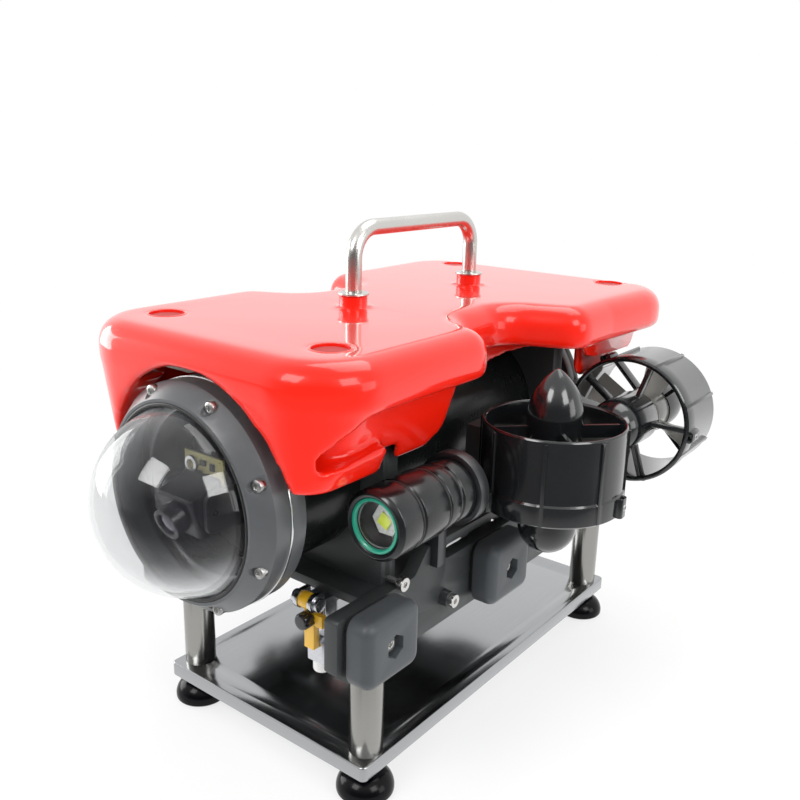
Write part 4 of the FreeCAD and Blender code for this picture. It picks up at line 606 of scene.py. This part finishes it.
repeated("camera_coils", camera_coil, [((-0.0095, coil_y, 0.2170), facing_front, full)], "camera", shim_bright,
         ["camera_module"])
coil_yellow = moulded_black("coil_yellow", (0.80, 0.56, 0.03), 0.35)
coil = turned([(0.0014, -0.0020), (0.0034, -0.0020), (0.0040, -0.0012), (0.0040, 0.0012), (0.0034, 0.0020),
               (0.0014, 0.0020)], 32)
repeated("board_coils", coil, [((0.0295, -0.1530, 0.2025), (0.4, 1.2, 0), full)], "vehicle", coil_yellow,
         ["sensor_board"])

# ---------------------------------------------------------------------------
# Upper shell. Gloss red gel coat on glass fibre, laid up in a mould, so every
# corner is round and the whole skin flows.
# ---------------------------------------------------------------------------
handle_low, handle_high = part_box("handle")
shell_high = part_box("upper_shell")[1]
foam_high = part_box("buoyancy_foam")[1]
deck = foam_high.z + 0.004
tube_radius = (handle_high.x - handle_low.x) / 2
boss_spots = [Vector((0, handle_low.y + tube_radius, 0)), Vector((0, handle_high.y - tube_radius, 0))]
rear_cup_x, shoulder = 0.076, 0.020
cup_spots = [Vector((side * x, y, deck + 0.0006)) for side in (-1, 1)
             for x, y in ((0.070, -0.1309), (rear_cup_x, 0.2002))]

# The rear screw holes are filled first, because the longer rear end moves
# them off their cups.
raw_shell = joined_copy("upper_shell")
filler_radius, filler_depth, filler_floor = 0.0198, 0.016, deck - 0.006
work = bmesh.new()
for side in (-1, 1):
    filler_place = Matrix.Translation((side * rear_cup_x, shell_high.y - shoulder, deck - shoulder))
    bmesh.ops.create_cone(work, cap_ends=True, segments=128, radius1=filler_radius, radius2=filler_radius,
                          depth=filler_depth, matrix=filler_place @ Matrix.Rotation(math.pi / 2, 4, "Y"))
bmesh.ops.bisect_plane(work, geom=work.verts[:] + work.edges[:] + work.faces[:],
                       plane_co=(0, 0, filler_floor), plane_no=(0, 0, 1), clear_inner=True)
bmesh.ops.holes_fill(work, edges=[e for e in work.edges if e.is_boundary])
bmesh.ops.recalc_face_normals(work, faces=work.faces)
work.from_mesh(raw_shell)
work.to_mesh(raw_shell)
work.free()
work = bpy.data.objects.new("work", raw_shell)
bpy.context.scene.collection.objects.link(work)
coat = work.modifiers.new("coat", "DISPLACE")
coat.strength, coat.mid_level = 0.0007, 0.0
skin = work.modifiers.new("skin", "REMESH")
skin.mode, skin.voxel_size, skin.use_smooth_shade = "VOXEL", 0.0020, True
flow = work.modifiers.new("flow", "SMOOTH")
flow.factor, flow.iterations = 0.5, 12
shell_mesh = settled(work)
rear_start, rear_length, rear_stretch = 0.120, 0.0936, 0.0145
rear_flare, flare_length, band_low = 0.03, 0.06, deck - 0.032
boss_foot, boss_draw, boss_low, boss_rim, boss_sink = 0.0135, 0.86, deck - 0.0025, shell_high.z - 0.001, 0.0002
cup_reach, cup_low, cup_floor = 0.0112, deck - 0.0045, deck - 0.0024
for vertex in shell_mesh.vertices:
    if vertex.co.y > rear_start:
        vertex.co.y += rear_stretch * min((vertex.co.y - rear_start) / rear_length, 1.0)
        flare = rear_flare * min((vertex.co.y - rear_start) / flare_length, 1.0)
        vertex.co.x *= 1.0 + flare * (vertex.co.z > band_low)
    for spot in boss_spots:
        offset = Vector((vertex.co.x - spot.x, vertex.co.y - spot.y, 0))
        if offset.length < boss_foot and vertex.co.z > boss_low:
            vertex.co = Vector((spot.x, spot.y, vertex.co.z)) + offset * boss_draw
            vertex.co.z = min(vertex.co.z, boss_rim) - boss_sink
    for spot in cup_spots:
        if (Vector((vertex.co.x, vertex.co.y, deck)) - spot).length < cup_reach and vertex.co.z > cup_low:
            vertex.co.z = min(vertex.co.z, cup_floor)
shell_mesh.shade_smooth()
gel_red = Finish("gel_red", (0.84, 0.013, 0.003), 0.30, Coat_IOR=1.75, Coat_Roughness=0.04,
                 Specular_IOR_Level=0.20)
cast = gel_red.noise(7.0, 4.0)
peel = gel_red.noise(190.0, 2.0)
gel_red.shades(cast, 0.93, 1.04)
gel_red.set("Roughness", cast * 0.10 + 0.24)
gel_facing = gel_red.add("ShaderNodeLayerWeight", {}, {"Blend": 0.5}, "Facing")
gel_red.set("Coat Weight", gel_facing.between(0.15, 0.75) * 0.8 + cast * 0.1 + 0.15)
gel_red.relief(peel + cast * 6.0, 0.00006, 0.35)
keep_piece("upper_shell_finished", shell_mesh, "vehicle", gel_red, ["upper_shell"])

# ---------------------------------------------------------------------------
# Bosses and screw cups of the shell. Two plain bosses carry the handle and
# four round cups hold the shell screws; both are moulded in with the skin.
# ---------------------------------------------------------------------------
boss_top, boss_side = shell_high.z, 0.0095
boss_bore = tube_radius + 0.0002
boss = turned([(boss_bore, deck - 0.003), (boss_side + 0.002, deck - 0.003), (boss_side + 0.0014, deck - 0.0002),
               (boss_side + 0.0004, deck + 0.0008), (boss_side, deck + 0.002), (boss_side, boss_top - 0.0006),
               (boss_side - 0.0006, boss_top), (boss_bore, boss_top)])
repeated("shell_bosses", boss, [(spot, (0, 0, 0), full) for spot in boss_spots], "vehicle", gel_red,
         ["upper_shell"])
cup = turned([(0.0134, -0.0007), (0.0124, -0.0001), (0.0113, 0.00002), (0.0110, -0.0003), (0.0109, -0.0020),
              (0.0030, -0.0021), (0.0028, -0.0026), (0.0028, -0.0050), (0.0120, -0.0050), (0.0132, -0.0016)],
             64)
repeated("shell_screw_cups", cup, [(spot, (0, 0, 0), full) for spot in cup_spots], "vehicle", gel_red,
         ["upper_shell"])
plug_red = Finish("plug_red", (0.42, 0.006, 0.004), 0.45)
pits = plug_red.noise(420.0, 4.0, rough=0.7)
plug_red.shades(pits, 0.35, 1.6)
plug_red.set("Roughness", pits * 0.3 + 0.3)
plug_red.relief(pits, 0.0003)
plug = turned([(0, -0.0012), (0.0085, -0.0012), (0.0103, -0.0016), (0.0108, -0.0024), (0.0108, -0.0045),
               (0, -0.0045)], 48)
repeated("shell_screw_plugs", plug, [(spot, (0, 0, 0), full) for spot in cup_spots], "vehicle", plug_red,
         ["large_screws"])

# ---------------------------------------------------------------------------
# Rear skirt. A short wall moulded under each side of the rear deck, with a
# curved front edge and a rounded lower corner over the rear duct.
# ---------------------------------------------------------------------------
skirt_line = [(0.1120, 0.2665), (0.1170, 0.2560), (0.1250, 0.2500), (0.1380, 0.2465), (0.1700, 0.2450),
              (0.2020, 0.2440), (0.2100, 0.2458), (0.2140, 0.2515), (0.2165, 0.2600), (0.2175, 0.2665)]
skirt_x, skirt_top, skirt_lean, skirt_wall = 0.1015, 0.2665, 0.16, 0.0035
tuck_start, tuck = 0.200, 0.25
work = bmesh.new()
for side in (-1, 1):
    for wall in (0.0, skirt_wall):
        lean = [side * (skirt_x + (z - skirt_top) * skirt_lean - wall - max(y - tuck_start, 0) * tuck)
                for y, z in skirt_line]
        ring = [work.verts.new((x, y, z)) for x, (y, z) in zip(lean, skirt_line)]
        if wall:
            work.faces.new(ring)
            for k in range(len(ring)):
                work.faces.new((ring[k - 1], ring[k], last[k], last[k - 1]))
        else:
            work.faces.new(ring[::-1])
        last = ring
bmesh.ops.recalc_face_normals(work, faces=work.faces)
bmesh.ops.bevel(work, geom=work.edges[:], offset=0.0008, segments=2, profile=0.5, affect="EDGES",
                clamp_overlap=True)
keep_piece("rear_skirt", finished_mesh(work, 50), "vehicle", gel_red, ["upper_shell"])

# ---------------------------------------------------------------------------
# Buoyancy foam. A pale closed-cell block, cut to fill the shell above the
# hull, where only its edges show.
# ---------------------------------------------------------------------------
foam_white = Finish("foam_white", (0.75, 0.73, 0.66), 0.8)
cells = foam_white.add("ShaderNodeTexVoronoi", {}, {"Vector": foam_white.place(), "Scale": 700.0})
foam_white.shades(cells, 0.85, 1.05)
foam_white.relief(cells, 0.0002)
eased_piece("buoyancy_foam", "vehicle", foam_white, 0.0008)

# ---------------------------------------------------------------------------
# Carry handle. One bent stainless tube, satin brushed around, that passes
# through two bosses of the shell and is held by washers and nuts.
# ---------------------------------------------------------------------------
handle_steel = brushed_steel("handle_steel", (0.66, 0.65, 0.62), 0.26, (1800, 1800, 1800))
eased_piece("handle", "vehicle", handle_steel, 0.0003)
eased_piece("handle_hardware", "vehicle", handle_steel, 0.0003)

# ---------------------------------------------------------------------------
# Thrusters. Ducts with guide vanes and tail cones, motor pods on struts, and
# four-bladed propellers, all moulded in glass-filled nylon.
# ---------------------------------------------------------------------------
duct_black = moulded_black("duct_black", (0.008, 0.009, 0.010), 0.18, 0.00001, 0.6)
blade_grey = Finish("blade_grey", (0.72, 0.71, 0.66), 0.24, Coat_Weight=0.4)
swirl = blade_grey.noise(30.0, 4.0)
blade_grey.shades(swirl, 0.80, 1.15)
blade_grey.set("Roughness", swirl * 0.15 + 0.16)
blade_grey.relief(swirl, 0.00005, 0.4)
for station in ("vertical_port", "vertical_starboard", "rear_port", "rear_starboard"):
    eased_piece("nozzle_" + station, "vehicle", duct_black, 0.0004)
    eased_piece("propeller_" + station, station + "_rotor", blade_grey, 0.0003)
eased_piece("motor_pods", "vehicle", duct_black, 0.0005)
lug_reach, lug_middle, lug_count, lug_start, lug_size = 0.0524, 0.0075, 3, 4, (0.62, 0.62, 0.62)
lug_spots = []
for side, station in ((1, "port"), (-1, "starboard")):
    rotor_low, rotor_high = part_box("propeller_vertical_" + station)
    centre = (rotor_low + rotor_high) / 2
    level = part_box("nozzle_vertical_" + station)[0].z + lug_middle
    rear_low, rear_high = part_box("propeller_rear_" + station)
    rear_centre = (rear_low + rear_high) / 2
    rear_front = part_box("nozzle_rear_" + station)[0].y + lug_middle
    for k in range(lug_count):
        angle = math.radians(lug_start + 360 / lug_count * k)
        out, along = lug_reach * math.cos(angle), lug_reach * math.sin(angle)
        heading = angle if side > 0 else math.pi - angle
        lug_spots.append(((centre.x + side * out, centre.y + along, level),
                          (math.pi / 2, 0, heading + math.pi / 2), lug_size))
        lug_spots.append(((rear_centre.x + side * out, rear_front, rear_centre.z - along),
                          (0, side * (angle + math.pi / 2), 0), lug_size))
repeated("lug_screws", button, lug_spots, "vehicle", button_steel, ["small_screws"])

# ---------------------------------------------------------------------------
# Lamps. Turned black housings with sealing rings in two grooves, and a green
# ring round a clear window. Behind it a dark reflector surrounds a white star
# board with one yellow emitter.
# ---------------------------------------------------------------------------
def clear_plastic(name, tint, roughness, haze):
    """Thin clear moulding: it mirrors at a shallow angle and is nearly bare face on."""
    clear = Finish(name, (0.92, 0.95, 0.96), roughness, Specular_IOR_Level=0.6)
    smudge = clear.noise(9.0, 5.0, rough=0.6)
    clear.set("Roughness", smudge * 0.04 + roughness)
    rim = clear.add("ShaderNodeLayerWeight", {}, {"Blend": 0.22}, "Fresnel")
    cover = rim * 0.46 + smudge.between(0.35, 0.8) * haze + haze * 0.5
    bare = clear.add("ShaderNodeBsdfTransparent", {}, {"Color": (*tint, 1)})
    clear.blend(cover.maths("MINIMUM", 1.0), bare, Wire(clear, clear.shader.outputs[0]))
    clear.set("Base Color", (0.8, 0.82, 0.83, 1))
    return clear


lamp_black = anodised("lamp_black", (0.008, 0.009, 0.010), 0.22, (0.05, 1, 0.05), 0.15, 0.5)
ring_green = anodised("ring_green", (0.006, 0.30, 0.19), 0.30, (0.05, 0.05, 0.05), 0.5)
lamp_clear = clear_plastic("lamp_clear", (0.985, 0.990, 0.990), 0.02, 0.002)
led_white = Finish("led_white", (0.80, 0.81, 0.80), 0.35)
dots = led_white.add("ShaderNodeTexVoronoi", {}, {"Vector": led_white.place(), "Scale": 500.0})
led_white.shades(dots, 0.7, 1.05)
eased_piece("lamp_bodies", "vehicle", lamp_black, 0.0004)
eased_piece("lamp_lenses", "vehicle", lamp_clear, 0.0002)
led_low, led_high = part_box("lamp_leds")
lamp_z = (led_low.z + led_high.z) / 2
lamp_x = led_high.x - (led_high.z - led_low.z) / 2
lamp_spots = [((side * lamp_x, led_high.y, lamp_z), facing_front, full) for side in (-1, 1)]
rim = led_high.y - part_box("lamp_bezels")[0].y
green = turned([(0.0143, rim - 0.0032), (0.0165, rim - 0.0032), (0.0165, rim - 0.0012), (0.0163, rim - 0.0009),
                (0.0150, rim - 0.0009), (0.0143, rim - 0.0016)], 72)
repeated("lamp_rings", green, lamp_spots, "vehicle", ring_green, ["lamp_bezels"])
tipped_spots = [(place, (math.pi / 2, 0.5, 0), full) for place, turn, size in lamp_spots]
star = turned([(0, 0), (0.0084, 0), (0.0086, 0.0003), (0.0086, 0.0013), (0.0084, 0.0015), (0, 0.0015)], 36,
              (1, 2, 3, 4))
repeated("lamp_stars", star, tipped_spots, "vehicle", led_white, ["lamp_leds"])
emitter_yellow = Finish("emitter_yellow", (0.78, 0.95, 0.04), 0.30, Coat_Weight=0.3)
phosphor = emitter_yellow.noise(900.0, 3.0)
emitter_yellow.shades(phosphor, 0.85, 1.1)
emitter_yellow.relief(phosphor, 0.0001, 0.5)
emitter = soft_block((0.0080, 0.0080, 0.0016), 0.0004, (0, 0, 0.0022))
repeated("lamp_emitters", emitter, tipped_spots, "vehicle", emitter_yellow, ["lamp_leds"])
cup_black = moulded_black("cup_black", (0.010, 0.010, 0.011), 0.18)
reflector = turned([(0.0102, 0.0016), (0.0141, 0.0016), (0.0141, 0.0062), (0.0136, 0.0062), (0.0122, 0.0040),
                    (0.0108, 0.0024)], 48)
repeated("lamp_reflectors", reflector, lamp_spots, "vehicle", cup_black, ["lamp_bodies"])
groove_ring = turned(round_section(0.0200, 0.0011, 10), 72)
housing_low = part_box("lamp_bodies")[0]
groove_spots = [((side * lamp_x, housing_low.y + depth, lamp_z), facing_front, full)
                for side in (-1, 1) for depth in (0.021, 0.047)]
repeated("lamp_groove_rings", groove_ring, groove_spots, "vehicle", seal_black, ["lamp_bodies"])

# ---------------------------------------------------------------------------
# Tool clamp. A small polished clamp under the front tray: a yellow hinged
# jaw on a pin, a black thumb knob and a white pad.
# ---------------------------------------------------------------------------
clamp_bright = brushed_steel("clamp_bright", (0.66, 0.67, 0.70), 0.20, (500, 500, 500))
jaw_yellow = anodised("jaw_yellow", (0.86, 0.46, 0.02), 0.30, (1, 1, 0.05), 0.4)
knob_black = moulded_black("knob_black", (0.015, 0.015, 0.020), 0.22, 0.00001, 0.5)
pad_white = moulded_black("pad_white", (0.80, 0.80, 0.78), 0.35)
for node, body, finish, slot in (
        ("clamp_body", "vehicle", clamp_bright, "clamp_alloy"),
        ("clamp_pin", "vehicle", clamp_bright, "screw_steel"),
        ("clamp_jaw", "jaw", jaw_yellow, "jaw_yellow"),
        ("clamp_knob", "knob", knob_black, "knob_black"),
        ("clamp_nylon_pad", "vehicle", pad_white, "pad_white")):
    eased_piece(node, body, finish, 0.0005)

# ---------------------------------------------------------------------------
# Screws. Stainless socket heads through the side plates, trays, flanges, cap
# and shell, turned and left satin.
# ---------------------------------------------------------------------------
screw_steel = brushed_steel("screw_steel", (0.70, 0.69, 0.67), 0.26, (700, 700, 700))
eased_piece("large_screws", "vehicle", screw_steel, 0.0003)
eased_piece("small_screws", "vehicle", screw_steel, 0.0002)
